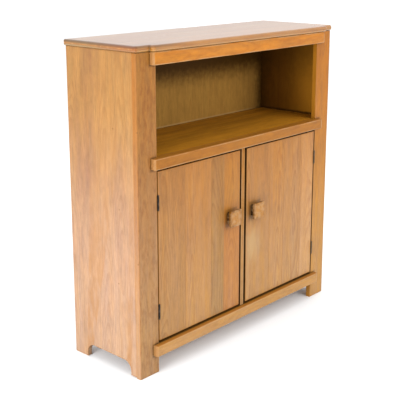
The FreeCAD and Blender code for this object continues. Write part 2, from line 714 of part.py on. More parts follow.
def catch(name, side):
    """Magnet block on the partition and the strike plate on the door that it holds."""
    block = board(f"{name}_catch", mirrored(side, "half_partition", "half_partition + catch_width"),
                  ("catch_front", "catch_front + catch_depth"), ("catch_top - catch_height", "catch_top"))
    for at, direction in catch_screws(side):
        sink(block, at, direction, "catch_screw_length")
    plate = board(f"{name}_strike", mirrored(side, "strike_inner", "strike_outer"),
                  ("door_thickness", "door_thickness + strike_thickness"),
                  ("catch_level - strike_height / 2", "catch_level + strike_height / 2"))
    at, direction = strike_screw(side)
    sink(plate, at, direction, "strike_screw_length")
    screw_group(f"{name}_strike_screw", [strike_screw(side)], "strike_screw_length")


top_board()
for word, sign in SIDES:
    side_panel(word, sign)
    front_stile(word, sign)
for word in ("top", "middle", "bottom"):
    rail(word)
shelves_and_floor()
centre_partition()
back_panel()
top_battens()
for word, sign in SIDES:
    door_boards(word, sign)
    door_cleats(word, sign)
    knob(word, sign)
    catch(word, sign)
hinges()
both = [place for _, sign in SIDES for place in catch_screws(sign)]
screw_group("catch_screws", both, "catch_screw_length")

doc.recompute()
for item in doc.Objects:
    if {"Invalid", "Error"} & set(item.State):
        raise RuntimeError(f"{item.Label}: {item.State}")
for piece in pieces:
    if piece.Shape.isNull() or not piece.Shape.isValid() or not piece.Shape.Solids:
        raise RuntimeError(f"{piece.Label}: no valid solid")
os.makedirs("parts", exist_ok=True)
for piece in pieces:
    piece.Shape.exportStep(f"parts/{piece.Label}.step")
print(len(pieces), "pieces written")
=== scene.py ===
"""Console cabinet in honey-coloured wood: its finishes and a pale studio, around a fixed frame.

Every wooden piece of the frame gets a board of its own, worked out with numpy, whose edges are
softened and a little uneven with wear. Hinges and catches keep their solids and get finishes,
and the screws get slotted heads. Lengths are in metres, +X to the right, +Y to the back, +Z up.
"""

import json
import math
import zlib

import bpy
import numpy as np
from bpy.props import FloatProperty, FloatVectorProperty, PointerProperty
from mathutils import Euler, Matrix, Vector


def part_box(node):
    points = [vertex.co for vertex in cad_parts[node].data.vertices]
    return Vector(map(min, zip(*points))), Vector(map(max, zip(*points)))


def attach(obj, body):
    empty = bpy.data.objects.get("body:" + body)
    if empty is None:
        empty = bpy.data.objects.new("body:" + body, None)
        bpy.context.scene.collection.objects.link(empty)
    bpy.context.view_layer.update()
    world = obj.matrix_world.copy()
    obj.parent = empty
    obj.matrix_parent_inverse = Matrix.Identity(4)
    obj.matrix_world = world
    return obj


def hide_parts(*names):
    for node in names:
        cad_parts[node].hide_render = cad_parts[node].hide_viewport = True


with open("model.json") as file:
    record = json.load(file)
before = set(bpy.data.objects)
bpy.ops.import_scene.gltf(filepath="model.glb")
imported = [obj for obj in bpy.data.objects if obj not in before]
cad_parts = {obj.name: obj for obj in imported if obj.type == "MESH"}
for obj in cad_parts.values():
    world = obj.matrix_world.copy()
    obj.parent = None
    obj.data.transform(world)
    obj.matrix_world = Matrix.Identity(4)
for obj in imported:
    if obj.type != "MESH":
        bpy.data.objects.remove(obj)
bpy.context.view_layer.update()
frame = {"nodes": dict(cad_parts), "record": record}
SLOT_OF = {row["node"]: row["material_slot"] for row in frame["record"]["subparts"]}
BODY_OF = {
    node: body for body, nodes in frame["record"]["behaviour"]["bodies"].items() for node in nodes
}

bl_info = {
    "name": "Console Cabinet",
    "version": (1, 0, 0),
    "blender": (4, 5, 0),
    "location": "View3D > Sidebar > Cabinet",
    "description": "Dresses the console cabinet's frame in waxed wood and sets up its studio",
    "category": "Object",
}

SIDES = ("left", "right")
RAILS = ("top_rail", "middle_rail", "bottom_rail")
DOOR_BOARDS = (1, 2, 3, 4)  # from the hinges to the free edge
PHOTO_PIXELS = 400  # width and height of the photograph
SENSOR_WIDTH = 36.0  # in millimetres
CURVE_STEPS = 7  # points on a rounding
RUN_STEP = 0.025  # longest step along a straight side
RUN_END = 0.003  # a straight side has one more point this close to each end
SHARP_TURN = 0.3  # sine of the smallest turn that counts as a corner
CREASE = math.radians(42)  # faces that meet at more than this keep a sharp edge
ROUND_OF_BEND, ROUND_OF_WALL = 0.8, 0.45  # largest rounding, as a share of a bend or a wall
FADE_OF_BEND, FADE_OF_WALL = 0.15, 0.3  # longest fade of the wear, likewise
WAVES = 8  # sines in an uneven edge
LONG_WAVE, SHORT_WAVE = 0.4, 0.05  # about the longest and the shortest of them
MARGIN = 0.001  # share of a board's width that the figure stays clear of at each side
KNOB_ROWS = 9  # rings on a knob's face
KNOB_EYE = 0.04  # share of the face inside the first of them
KNOB_WAVE = 0.012  # unevenness of a knob's outline
KNOB_ROOM = 0.985  # share of its box that an uneven knob fills
FLOOR_HALF, FLOOR_POINTS = 9.0, 7  # half the floor's side, and points along it


def length(name, description, default):
    """A property that holds a length in metres."""
    return FloatProperty(name=name, description=description, default=default,
                         unit="LENGTH", precision=4)


def share(name, description, default, high=1.0):
    """A property that holds a share, or with a higher limit a strength."""
    return FloatProperty(name=name, description=description, default=default,
                         subtype="FACTOR", min=0.0, max=high)


def power(name, description, default):
    """A property that holds a light's power in watts."""
    return FloatProperty(name=name, description=description, default=default, unit="POWER", min=0.0)


def colour(name, description, default, high=1.0):
    """A property that holds a linear colour, or with a higher limit a tint."""
    return FloatVectorProperty(name=name, description=description, default=default,
                               subtype="COLOR", size=3, min=0.0, max=high)


class CabinetEdges(bpy.types.PropertyGroup):
    """Softened edges and small forms of the boards."""

    nose: length("Top's nose", "Rounding of the top's upper edges", 0.009)
    under: length("Under the nose", "Rounding of the top's lower edges", 0.0075)
    top_corner: length("Top's corners", "Outer corners of the top in plan", 0.012)
    top_inner: length("Top's inner corners", "Inner corners of the top's steps in plan", 0.002)
    stile_outer: length("Stile's outer edge", "Outer front edge of the stiles", 0.0025)
    rail_face: length("Rail's long edges", "Rounded long edges of the rail faces", 0.003)
    rail_end: length("Rail's ends", "Rounded upright edges of the rail ends", 0.008)
    door: length("Door's edges", "Eased outline of the doors", 0.0018)
    foot: length("Feet", "Worn edges of the feet and the arch between them", 0.002)
    seam: length("Seams", "Eased edges where two boards meet", 0.0005)
    cleat: length("Cleats", "Sloped edges at the back of the cleats", 0.005)
    fade: length("Wear", "Reach of the wear beside an edge", 0.004)
    unevenness: share("Unevenness", "How much the roundings vary along an edge", 0.3)
    arch_height: length("Arch", "Height of the arch under the sides", 0.048)
    arch_radius: length("Arch corners", "Radius of the arch's corners", 0.032)
    front_foot: length("Front foot", "Side panel's share of the front foot", 0.028)
    foot_wear: length("Foot wear", "Side panel's front foot ends this much over the floor", 0.003)
    back_foot: length("Back foot", "Length of the back foot", 0.064)
    back_recess: length("Back recess", "Back panel's face lies this much inside its solid's, and the "
                        "sides' back edges twice as much", 0.0003)
    notch: length("Hinge notch", "Depth of the notches for the hinge leaves", 0.0015)


class CabinetKnobs(bpy.types.PropertyGroup):
    """Square knobs with a pillowed face."""

    head: length("Head", "Thickness of the head", 0.011)
    undercut: length("Undercut", "Neck inside the head all round", 0.009)
    corner: length("Corners", "Radius of the head's corners", 0.006)
    edge: length("Front edge", "Rounding of the head's front edge", 0.002)
    back_edge: length("Back edge", "Rounding of the head's back edge", 0.0015)
    cove: length("Cove", "Hollow between neck and head", 0.004)
    pillow: length("Pillow", "Rise of the face's middle over its rim", 0.0012)


class CabinetWood(bpy.types.PropertyGroup):
    """Waxed wood: colours and figure."""

    # The outside runs from honey near the floor to a darker amber near the top.
    amber: colour("Amber", "Outside near the top, where the wax is yellowest", (0.288, 0.106, 0.011))
    honey: colour("Honey", "Outside near the floor", (0.340, 0.178, 0.056))
    rose: colour("Rose", "Tint of the paler rosy streaks", (0.98, 1.20, 2.60), 3.0)
    drab: colour("Drab", "Tint of greyish boards and of the top's ends at the rear", (0.66, 0.77, 0.96))
    salmon: colour("Salmon", "Tint of the stiles' outer edges near the top", (1.02, 0.96, 0.92), 3.0)
    blush: colour("Blush", "Tint of the stiles' outer edges near the floor", (1.07, 1.12, 1.45), 3.0)
    russet: colour("Russet", "Tint of the redder board of the left door", (1.00, 0.88, 0.94))
    waxed: colour("Waxed", "Tint of the yellow wax on the top's nose", (1.00, 0.88, 0.42))
    shut: colour("Cupboard", "Tint of the wood inside the cupboards", (0.64, 0.62, 2.00), 3.0)
    # Mauve also paints shade on the upper part of the sides.
    mauve: colour("Mauve", "Tint of the pinkish-grey clouds", (0.830, 0.790, 0.900))
    # Bare, mixed with ledge, is also painted as shade in the left-hand gaps, and darkens the shelves
    # towards the back.
    bare: colour("Bare", "Dull wood inside and in the gaps", (0.128, 0.049, 0.004))
    # Ledge is also painted on the inner faces towards the niche's opening as painted light.
    ledge: colour("Ledge", "Wood of the ledges, the shelves and the niche's sides", (0.410, 0.174, 0.013))
    panel: colour("Panel", "Back panel", (0.276, 0.145, 0.030))
    late: colour("Late wood", "Tint of dark rings and streaks", (0.620, 0.430, 0.280))
    pore: colour("Pores", "Tint of the pores", (0.360, 0.230, 0.120))
    # Worn is also the colour of the painted highlight along the lower edge of the top's nose.
    worn: colour("Worn edges", "Bare worn edges", (0.363, 0.222, 0.109))
    arris: colour("Arris", "Rubbed edges of the case and the doors", (0.269, 0.118, 0.030))
    rim: colour("Top's rim", "Darkened edges of the top and the knobs, and knots", (0.120, 0.045, 0.008))
    # This colour is dirt round the knobs, and also paints shade in corners, gaps and under parts.
    grime_and_shade: colour("Grime", "Dirt round the knobs and in corners", (0.045, 0.018, 0.002))
    straw: colour("Straw", "Bleached patch and pale scuffs", (0.380, 0.250, 0.115))
    ring_width: length("Rings", "Width of a year ring", 0.0052)
    taper: share("Taper", "Drift of the rings along the board, which makes the arches", 0.030)
    roughness: share("Roughness", "Roughness of the waxed surface", 0.42)


class CabinetMetal(bpy.types.PropertyGroup):
    """Hinges, screws and catches."""

    hinge: colour("Hinges", "Darkened steel", (0.022, 0.020, 0.018))
    # Painted highlight: the right hinges' lighter steel stands in for the light they catch.
    rubbed: colour("Right hinges", "Steel rubbed to a dull brown", (0.100, 0.072, 0.045))
    screw: colour("Screws", "Dull steel", (0.160, 0.145, 0.125))
    strike: colour("Strikes", "Plated steel", (0.420, 0.405, 0.380))
    rust: colour("Rust", "Brown bloom on the steel", (0.085, 0.040, 0.018))
    block: colour("Catch blocks", "Brown moulded block", (0.045, 0.028, 0.018))
    half_slot: share("Half slot", "Half the width of a screw's slot, in head radii", 0.17)
    slot_depth: length("Slot depth", "Depth of a screw's slot", 0.0005)
    dome: length("Dome", "Rise of a screw's head over the wood", 0.00015)


class CabinetStage(bpy.types.PropertyGroup):
    """Camera, floor and light."""

    eye: FloatVectorProperty(name="Camera", description="Place of the camera", subtype="XYZ",
                             unit="LENGTH", default=(-2.26096, -2.00613, 1.35516))
    heading: FloatProperty(name="Heading", description="Turn of the view from +Y towards +X",
                           subtype="ANGLE", default=math.radians(47.625))
    dip: FloatProperty(name="Dip", description="Fall of the view below the level",
                       subtype="ANGLE", default=math.radians(13.170))
    focal_pixels: FloatProperty(name="Focal length", default=861.32, subtype="PIXEL",
                                description="Focal length in pixels of the photograph")
    centre_row: FloatProperty(name="Centre row", default=152.0, subtype="PIXEL",
                              description="Pixel row that the lens points at")
    floor: colour("Floor", "Pale floor", (0.82, 0.835, 0.85))
    sky: share("Surround", "Strength of the white surround", 1.25, 10.0)
    key: power("Key light", "Power of the large light at the left", 105.0)
    overhead: power("Overhead light", "Power of the light above", 30.0)
    front: power("Front light", "Power of the light in front", 55.0)


def edges():
    return bpy.context.scene.cabinet_edges


def wood():
    return bpy.context.scene.cabinet_wood


def metal():
    return bpy.context.scene.cabinet_metal


# Outlines and surfaces.
def rectangle(low_u, high_u, low_v, high_v):
    """Corners of a rectangle, anticlockwise. Its sides are the bottom, right, top and left ones."""
    return [(low_u, low_v), (high_u, low_v), (high_u, high_v), (low_u, high_v)]


def bend(before, here, after, radius):
    """Points of an outline's corner: here + the arc of the radius that touches both sides."""
    here = np.asarray(here, float)
    if radius <= 0:
        return here[None]
    to_before = np.asarray(before, float) - here
    to_after = np.asarray(after, float) - here
    to_before /= np.linalg.norm(to_before)
    to_after /= np.linalg.norm(to_after)
    half = math.acos(float(np.clip(to_before @ to_after, -1, 1))) / 2
    towards = to_before + to_after
    centre = here + towards / np.linalg.norm(towards) * radius / math.sin(half)
    start = here + to_before * radius / math.tan(half) - centre
    end = here + to_after * radius / math.tan(half) - centre
    first = math.atan2(start[1], start[0])
    sweep = (math.atan2(end[1], end[0]) - first + math.pi) % (2 * math.pi) - math.pi
    angle = first + sweep * np.linspace(0, 1, CURVE_STEPS)
    return centre + radius * np.c_[np.cos(angle), np.sin(angle)]


def outline(corners, radii):
    """Closed outline through rounded corners.

    Returns its points and, for each of them, the place, the numbers of the points at the two
    ends of its side, and how far along the side it lies. A place is the number of the side; on
    a corner's arc it runs evenly from one side's number to the next. Straight sides get a point
    close to each of their ends and are divided evenly in between.
    """
    count = len(corners)
    bends = [bend(corners[i - 1], corners[i], corners[(i + 1) % count], radii[i])
             for i in range(count)]
    points, places, ends, shares = [], [], [], []
    number = 0
    for i, arc in enumerate(bends):
        end = bends[(i + 1) % count][0]
        run = np.linalg.norm(end - arc[-1])
        close = min(RUN_END, run / 4) / run
        share_of_run = np.r_[0, np.linspace(close, 1 - close, max(2, int(run / RUN_STEP) + 1))]
        points += [arc[:-1], arc[-1] + (end - arc[-1]) * share_of_run[:, None]]
        turn = number + np.arange(len(arc) - 1)
        number += len(arc) - 1
        places += [i - 1 + np.linspace(0.5, 1, len(arc) - 1), np.full(len(share_of_run), float(i))]
        side = np.tile((number, number + len(share_of_run)), (len(share_of_run), 1))
        ends += [np.c_[turn, turn], side]
        shares += [np.zeros(len(turn)), share_of_run]
        number += len(share_of_run)
    points, places, ends, shares = map(np.concatenate, (points, places, ends, shares))
    return points, places, ends % number, shares


def dice_of(name):
    """Random numbers that hang on a name alone."""
    return np.random.default_rng(zlib.crc32(name.encode()))


def waves(run, name):
    """Smooth closed waves between about -1 and 1: a sum of sines whose phases hang on the name."""
    dice = dice_of(name)
    whole = run[-1] + RUN_END
    turns = dice.integers(1 + int(whole / LONG_WAVE), 4 + int(whole / SHORT_WAVE), WAVES)
    phase = dice.uniform(0, 2 * math.pi, WAVES)
    return np.sin(2 * math.pi * run[:, None] / whole * turns + phase).mean(1) * 2


def board_surface(name, corners, radii, low_edges, high_edges, low, high, even):
    """Closed board S(s, t): the outline's point s, moved inwards by i(t) and raised to h(t).

    Up the wall, t runs through a quarter circle of radius r at the low edge, with
    i = r (1 - sin t) and h = low + r (1 - cos t), up the straight wall, and through a quarter
    circle at the high edge. r follows the side of the outline and its waves. One more ring on
    each flat lets the wear fade out, and flat caps close the board.
    Returns the points as rings, the wear of each point, and the faces.
    """
    points, places, ends, shares = outline(corners, radii)
    step = np.roll(points, -1, 0) - points
    run = np.linalg.norm(step, axis=1)
    tangent = step / run[:, None]
    normal = np.c_[tangent[:, 1], -tangent[:, 0]]
    before = np.roll(normal, 1, 0)
    turn = before[:, 0] * normal[:, 1] - before[:, 1] * normal[:, 0]
    sharp = np.abs(turn) > SHARP_TURN
    middle = before + normal
    middle /= np.linalg.norm(middle, axis=1)[:, None]

    def inwards(depth):
        earlier = np.roll(depth, 1)
        crossing = np.c_[depth * before[:, 1] - earlier * normal[:, 1],
                         earlier * normal[:, 0] - depth * before[:, 0]]
        crossing /= np.where(sharp, turn, 1)[:, None]
        moved = np.where(sharp[:, None], crossing, -middle * ((depth + earlier) / 2)[:, None])
        first, last = ((moved[ends[:, k]] * tangent).sum(1) for k in (0, 1))
        slide = np.where(shares > 0, first + (last - first) * shares, 0)
        return moved + tangent * slide[:, None]

    worn = 1 + even * edges().unevenness * waves(np.cumsum(run), name)
    sides = np.arange(-1, len(corners) + 1)
    at = np.asarray(corners, float)
    arrive, leave = at - np.roll(at, 1, 0), np.roll(at, -1, 0) - at
    outwards = arrive[:, 0] * leave[:, 1] - arrive[:, 1] * leave[:, 0] > 0
    bends = [radius for radius, convex in zip(radii, outwards) if convex and radius > 0]
    most = min([ROUND_OF_BEND * radius for radius in bends] + [ROUND_OF_WALL * (high - low)])

    def along(values):
        return np.minimum(np.interp(places, sides, [values[-1], *values, values[0]]) * worn, most)

    low_r, high_r = along(low_edges), along(high_edges)
    fade = min([edges().fade] + [FADE_OF_BEND * radius for radius in bends])
    wall_fade = min(fade, FADE_OF_WALL * (high - low - low_r.max() - high_r.max()))
    zero = np.zeros_like(low_r)
    quarter = np.linspace(0, math.pi / 2, CURVE_STEPS)
    rows = [(low_r + fade, zero + low, 0.0)]
    rows += [(low_r * (1 - math.sin(t)), low + low_r * (1 - math.cos(t)), 1.0) for t in quarter]
    rows += [(zero, low + low_r + wall_fade, 0.0), (zero, high - high_r - wall_fade, 0.0)]
    rows += [(high_r * (1 - math.cos(t)), high - high_r * (1 - math.sin(t)), 1.0) for t in quarter]
    rows.append((high_r + fade, zero + high, 0.0))
    rings = np.stack([np.c_[points + inwards(inset), (height + np.roll(height, 1)) / 2]
                      for inset, height, _ in rows])
    wear = np.maximum(np.array([value for _, _, value in rows])[:, None], places % 1 > 0)
    return rings, wear, ring_faces(len(rows), len(points))


def ring_faces(rows, count):
    """Quads between neighbouring closed rings, and a cap on the first and the last ring."""
    row, column = np.meshgrid(np.arange(rows - 1), np.arange(count), indexing="ij")
    following = (column + 1) % count
    quads = np.stack([row * count + column, row * count + following,
                      (row + 1) * count + following, (row + 1) * count + column], -1)
    first = np.arange(count)[::-1].tolist()
    last = (np.arange(count) + (rows - 1) * count).tolist()
    return quads.reshape(-1, 4).tolist() + [first, last]


def grid_faces(rows, columns):
    """Quads of an open grid, whose points are numbered row by row."""
    row, column = np.meshgrid(np.arange(rows - 1), np.arange(columns - 1), indexing="ij")
    first = row * columns + column
    return np.stack([first, first + columns, first + columns + 1, first + 1], -1).reshape(-1, 4)


def put_mesh(name, points, faces, material, attributes=None, flip=False):
    """A new object at the origin with smooth faces, sharp creases and per-point attributes."""
    mesh = bpy.data.meshes.new(name)
    mesh.from_pydata(points, [], [face[::-1] for face in faces] if flip else faces)
    mesh.polygons.foreach_set("use_smooth", np.ones(len(mesh.polygons), bool))
    mesh.set_sharp_from_angle(angle=CREASE)
    for label, values in (attributes or {}).items():
        vector = values.ndim == 2
        layer = mesh.attributes.new(label, "FLOAT_VECTOR" if vector else "FLOAT", "POINT")
        layer.data.foreach_set("vector" if vector else "value", values.astype(np.float32).ravel())
    mesh.materials.append(material)
    piece = bpy.data.objects.new(name, mesh)
    bpy.context.scene.collection.objects.link(piece)
    return piece


def dress(piece, node):
    """The piece stands for the frame's node, on the node's body and with its slot."""
    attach(piece, BODY_OF[node])
    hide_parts(node)


# Boards, each drawn in the right half and mirrored for the left one.
AXES = {"x": 0, "y": 1, "z": 2}
RIGHT_HANDED = ("xy", "yz", "zx")
# The lightness is partly painted light: the front's boards are made lighter from left to right.
TINTS = {  # lightness, share of drab and share of rose
    "left_door_board_1": (0.97, 0.06, 0.15), "left_door_board_2": (1.03, 0.00, 0.10),
    "left_door_board_3": (1.04, 0.50, 0.05), "left_door_board_4": (1.04, 0.00, -0.12),
    "right_door_board_4": (1.05, 0.10, 0.10), "right_door_board_3": (1.04, 0.05, 0.05),
    "right_door_board_2": (1.09, 0.14, 0.18), "right_door_board_1": (1.38, 0.24, 0.22),
    "left_front_stile": (0.91, 0.06, 0.30), "right_front_stile": (1.10, 0.00, -0.18),
    "left_side_panel": (0.98, 0.00, 0.95), "right_side_panel": (0.98, 0.00, 0.95),
    "top_board": (0.92, 0.04, 0.25), "middle_rail": (0.90, 0.06, -0.24),
    "top_rail": (1.34, 0.00, -0.06), "bottom_rail": (1.03, 0.00, -0.05),
}
PLAIN_TINT = (1.0, 0.1, 0.1)
KNOB_TINT = (1.03, 0.06, -0.12)
KNOB_SHADOW = 0.88  # how much darker a knob is behind its head


def right_box(node):
    """The node's box as lists, with a left piece's box mirrored into the right half."""
    low, high = (list(corner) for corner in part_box(node))
    if node.startswith("left_"):
        low[0], high[0] = -high[0], -low[0]
    return low, high


def wood_attributes(node, dull, along, across, through, width, staves, wear, tint):
    """What the points of a wooden piece carry for its finish.

    The grain attribute holds the place along the board, the number of staves across and the
    depth. The first is shifted by an amount that hangs on the node's name, so that no two
    boards share their figure.
    """
    dice = dice_of(node)
    count = len(along)
    staved = np.clip(across / width, MARGIN, 1 - MARGIN) * staves
    return {
        "inside": dull,
        "grain": np.c_[along + dice.uniform(0, 20), staved, through],
        "stave": np.full(count, width / staves),
        "lot": np.full(count, dice.uniform(0, 50)),
        "wear": wear,
        "tint": tint,
    }


def board(node, plane, corners, low_edges, high_edges, grain, radii=None, staves=1, span=None,
          inside=None, even=1.0):
    """A wooden board for a node: an outline in a plane, carried through the node's thickness.

    The inside attribute is 1 where the wood is dull, by a function of the points, or else
    everywhere. The smaller even is, the less the roundings vary.
    """
    normal = next(AXES[axis] for axis in "xyz" if axis not in plane)
    low, high = right_box(node)
    thick = span or (low[normal], high[normal])
    radii = radii or [0] * len(corners)
    rings, wear, faces = board_surface(node, corners, radii, low_edges, high_edges, *thick, even)
    points = np.empty((wear.size, 3))
    points[:, [AXES[plane[0]], AXES[plane[1]], normal]] = rings.reshape(-1, 3)
    along = AXES[grain]
    across = max({0, 1, 2} - {along}, key=lambda axis: high[axis] - low[axis])
    depth = 3 - along - across
    attributes = wood_attributes(
        node, inside(points) if inside else np.ones(len(points)), points[:, along],
        points[:, across] - low[across], points[:, depth] - low[depth], high[across] - low[across],
        staves, wear.ravel(), np.tile(TINTS.get(node, PLAIN_TINT), (len(points), 1)))
    flip = plane not in RIGHT_HANDED
    if node.startswith("left_"):
        points[:, 0] *= -1
        flip = not flip
    dress(put_mesh(f"board_{node}", points, faces, finish(SLOT_OF[node]), attributes, flip), node)


def plain_board(node, plane, grain, low_edge, high_edge, **others):
    """A rectangular board with one rounding on each of its two faces."""
    low, high = right_box(node)
    u, v = (AXES[axis] for axis in plane)
    corners = rectangle(low[u], high[u], low[v], high[v])
    board(node, plane, corners, [low_edge] * 4, [high_edge] * 4, grain, **others)


def rise(values, low, high):
    """0 below low, 1 above high and straight in between."""
    return np.clip((values - low) / (high - low), 0, 1)


def behind(front):
    """Dull behind the front face's edges."""
    return lambda points: rise(points[:, 1] - front, 0.001, 0.003)


def notched_edge(u, high_v, depth, spans):
    """An upright edge at u, from the top down, with shallow notches into the board beside it."""
    corners = [(u, high_v)]
    for low, high in sorted(spans, reverse=True):
        corners += [(u, high), (u + depth, high), (u + depth, low), (u, low)]
    return corners


def notched_rounding(spans):
    """Roundings along a notched edge, which stays nearly sharp in the notches."""
    size = edges()
    return [size.door, size.seam, size.seam, size.seam] * len(spans) + [size.door]


def hinge_spans(side):
    """Heights of the hinge leaves on one side."""
    boxes = [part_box(f"{side}_{level}_hinge_frame_leaf") for level in ("lower", "upper")]
    return [(low.z, high.z) for low, high in boxes]


def side_panel(side):
    """Side with an arch between its feet, glued up from three staves."""
    node = f"{side}_side_panel"
    size = edges()
    low, high = right_box(node)
    front, back = low[1], high[1] - 2 * size.back_recess
    arch_front, arch_back = front + size.front_foot, high[1] - size.back_foot
    worn = low[2] + size.foot_wear
    corners = [
        (front, worn), (arch_front, worn), (arch_front, size.arch_height),
        (arch_back, size.arch_height), (arch_back, low[2]), (back, low[2]), (back, high[2]),
        (front, high[2]),
    ]
    radii = [0, 0, size.arch_radius, size.arch_radius, 0, 0, 0, 0]
    outer = [size.foot] * 6 + [size.seam] * 2
    inner = [size.foot] * 5 + [size.seam] * 3
    board(node, "yz", corners, inner, outer, "z", radii, staves=3,
          inside=lambda points: 1 - rise(points[:, 0] - low[0], 0.001, 0.004))


def front_stile(side):
    """Stile with a worn outer edge and notches for the hinge leaves at its inner edge.

    Only its wall beside the doors is dulled, and not fully.
    """
    node = f"{side}_front_stile"
    size = edges()
    low, high = right_box(node)
    spans = hinge_spans(side)
    inner = notched_edge(low[0], high[2], size.notch, spans)
    corners = [(low[0], low[2]), (high[0], low[2]), (high[0], high[2]), *inner]
    front = [size.foot, size.stile_outer, size.seam, *notched_rounding(spans)]
    outer_part, dullness = 0.03, 0.6

    def inner_wall(points):
        return behind(low[1])(points) * dullness * (points[:, 0] < high[0] - outer_part)

    board(node, "xz", corners, front, [size.seam] * len(corners), "z", inside=inner_wall)


def rail(node):
    """Rail whose proud face laps over the stiles, with round ends and long edges."""
    size = edges()
    low, high = right_box(node)
    inner, face, _ = right_box("right_front_stile")[0]
    corners = [
        (low[0], low[1]), (high[0], low[1]), (high[0], face), (inner, face), (inner, high[1]),
        (-inner, high[1]), (-inner, face), (low[0], face),
    ]
    radii = [size.rail_end, size.rail_end, 0, 0, 0, 0, 0, 0]
    rounding = [size.rail_face, size.rail_face] + [size.seam] * 5 + [size.rail_face]
    board(node, "xy", corners, rounding, rounding, "x", radii,
          inside=lambda points: rise(points[:, 1] - face, 0.0, 0.010))


def top_board():
    """Top that steps forward over the rails, with a round nose on all edges but the back."""
    size = edges()
    low, high = right_box("top_board")
    stile_low, stile_high = right_box("right_front_stile")
    overhang = high[0] - stile_high[0]
    step, shoulder = right_box("top_rail")[1][0] + overhang, stile_low[1] - overhang
    corners = [
        (-step, low[1]), (step, low[1]), (step, shoulder), (high[0], shoulder), (high[0], high[1]),
        (low[0], high[1]), (low[0], shoulder), (-step, shoulder),
    ]
    outer, inner = size.top_corner, size.top_inner
    radii = [outer, outer, inner, outer, 0, 0, outer, inner]
    lower, upper = ([edge] * 4 + [size.seam] + [edge] * 3 for edge in (size.under, size.nose))
    board("top_board", "xy", corners, lower, upper, "x", radii, staves=3, even=0.3,
          inside=lambda points: 1 - rise(points[:, 2] - low[2], 0.0, 0.002))


def centre_partition():
    """Upright between the doors, notched round the middle rail."""
    size = edges()
    low, high = right_box("centre_partition")
    rail_low, rail_high = right_box("middle_rail")
    corners = [
        (low[1], low[2]), (high[1], low[2]), (high[1], high[2]), (rail_high[1], high[2]),
        (rail_high[1], rail_low[2]), (low[1], rail_low[2]),
    ]
    rounding = [size.seam] * 5 + [size.door]
    board("centre_partition", "yz", corners, rounding, rounding, "z", staves=3,
          inside=behind(low[1]))


def door_board(side, number):
    """Upright door board, eased along the door's outline and nearly tight at its seams."""
    node = f"{side}_door_board_{number}"
    size = edges()
    low, high = right_box(node)
    corners = rectangle(low[0], high[0], low[2], high[2])
    hinge_edge = [size.seam]
    free_edge = size.door if number == DOOR_BOARDS[-1] else size.seam
    if number == DOOR_BOARDS[0]:
        spans = hinge_spans(side)
        corners[2:3] = reversed(notched_edge(high[0], high[2], -size.notch, spans))
        hinge_edge = notched_rounding(spans)
    front = [size.door, *hinge_edge, size.door, free_edge]
    back = [size.seam] * len(corners)
    board(node, "xz", corners, front, back, "z", inside=behind(low[1]))


def knob(side):
    """Square knob S(s, t): a rounded square's outline shrunk to half-width q(t) at depth y(t).

    The profile starts in the middle of the face, where y rises as the square of q, turns round
    the head's front edge and back edge, runs in to the cove and follows the neck to the door.
    """
    node = f"{side}_knob"
    size = bpy.context.scene.cabinet_knobs
    low, high = (np.array(corner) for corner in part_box(node))
    centre = (low + high) / 2
    half = (high[0] - low[0]) / 2
    quarter = np.linspace(0, math.pi / 2, CURVE_STEPS)
    rim, neck = low[1] + size.pillow, half - size.undercut
    head_back = low[1] + size.head
    face = np.linspace(KNOB_EYE, 1, KNOB_ROWS)
    q = np.r_[
        face * (half - size.edge), half - size.edge + size.edge * np.sin(quarter),
        half - size.back_edge + size.back_edge * np.cos(quarter),
        neck + size.cove - size.cove * np.sin(quarter), neck,
    ]
    y = np.r_[
        low[1] + size.pillow * face ** 2, rim + size.edge * (1 - np.cos(quarter)),
        head_back - size.back_edge + size.back_edge * np.sin(quarter),
        head_back + size.cove * (1 - np.cos(quarter)), high[1],
    ]
    points = outline(rectangle(-half, half, -half, half), [size.corner] * 4)[0]
    run = np.cumsum(np.linalg.norm(np.roll(points, -1, 0) - points, axis=1))
    points = points / half * (1 + KNOB_WAVE * waves(run, node))[:, None]
    count = len(points)
    rings = np.empty((len(q), count, 3))
    rings[..., 0] = centre[0] + q[:, None] * points[:, 0] * KNOB_ROOM
    rings[..., 1] = y[:, None]
    rings[..., 2] = centre[2] + q[:, None] * points[:, 1] * KNOB_ROOM
    flat = rings.reshape(-1, 3)
    wear = np.zeros(len(q))
    wear[KNOB_ROWS - 2:KNOB_ROWS + CURVE_STEPS] = 1.0
    tint = np.tile(KNOB_TINT, (len(flat), 1))
    tint[:, 0] -= KNOB_SHADOW * np.repeat(rise(y - head_back, -0.0012, -0.0002), count)
    attributes = wood_attributes(
        node, np.repeat(rise(y - rim, 0.0005, 0.0020), count), flat[:, 2], flat[:, 0] - low[0],
        flat[:, 1] - low[1], 2 * half, 1, np.repeat(wear, count), tint)
    faces = ring_faces(len(q), count)
    dress(put_mesh(node + "_head", flat, faces, finish(SLOT_OF[node]), attributes), node)


# Screws.
def solids(node):
    """Point clouds of a node's separate solids: triangles that share a corner belong together."""
    mesh = frame["nodes"][node].data
    places = np.empty(len(mesh.vertices) * 3, np.float32)
    mesh.vertices.foreach_get("co", places)
    mesh.calc_loop_triangles()
    triangles = np.empty(len(mesh.loop_triangles) * 3, np.int32)
    mesh.loop_triangles.foreach_get("vertices", triangles)
    points, number = np.unique(places.reshape(-1, 3).round(5), axis=0, return_inverse=True)
    triangles = number.reshape(-1)[triangles.reshape(-1, 3)]
    label = np.arange(len(points))
    while True:
        lowest = label.copy()
        np.minimum.at(lowest, triangles, label[triangles].min(1)[:, None])
        if np.array_equal(lowest, label):
            return [points[label == one] for one in np.unique(label)]
        label = lowest


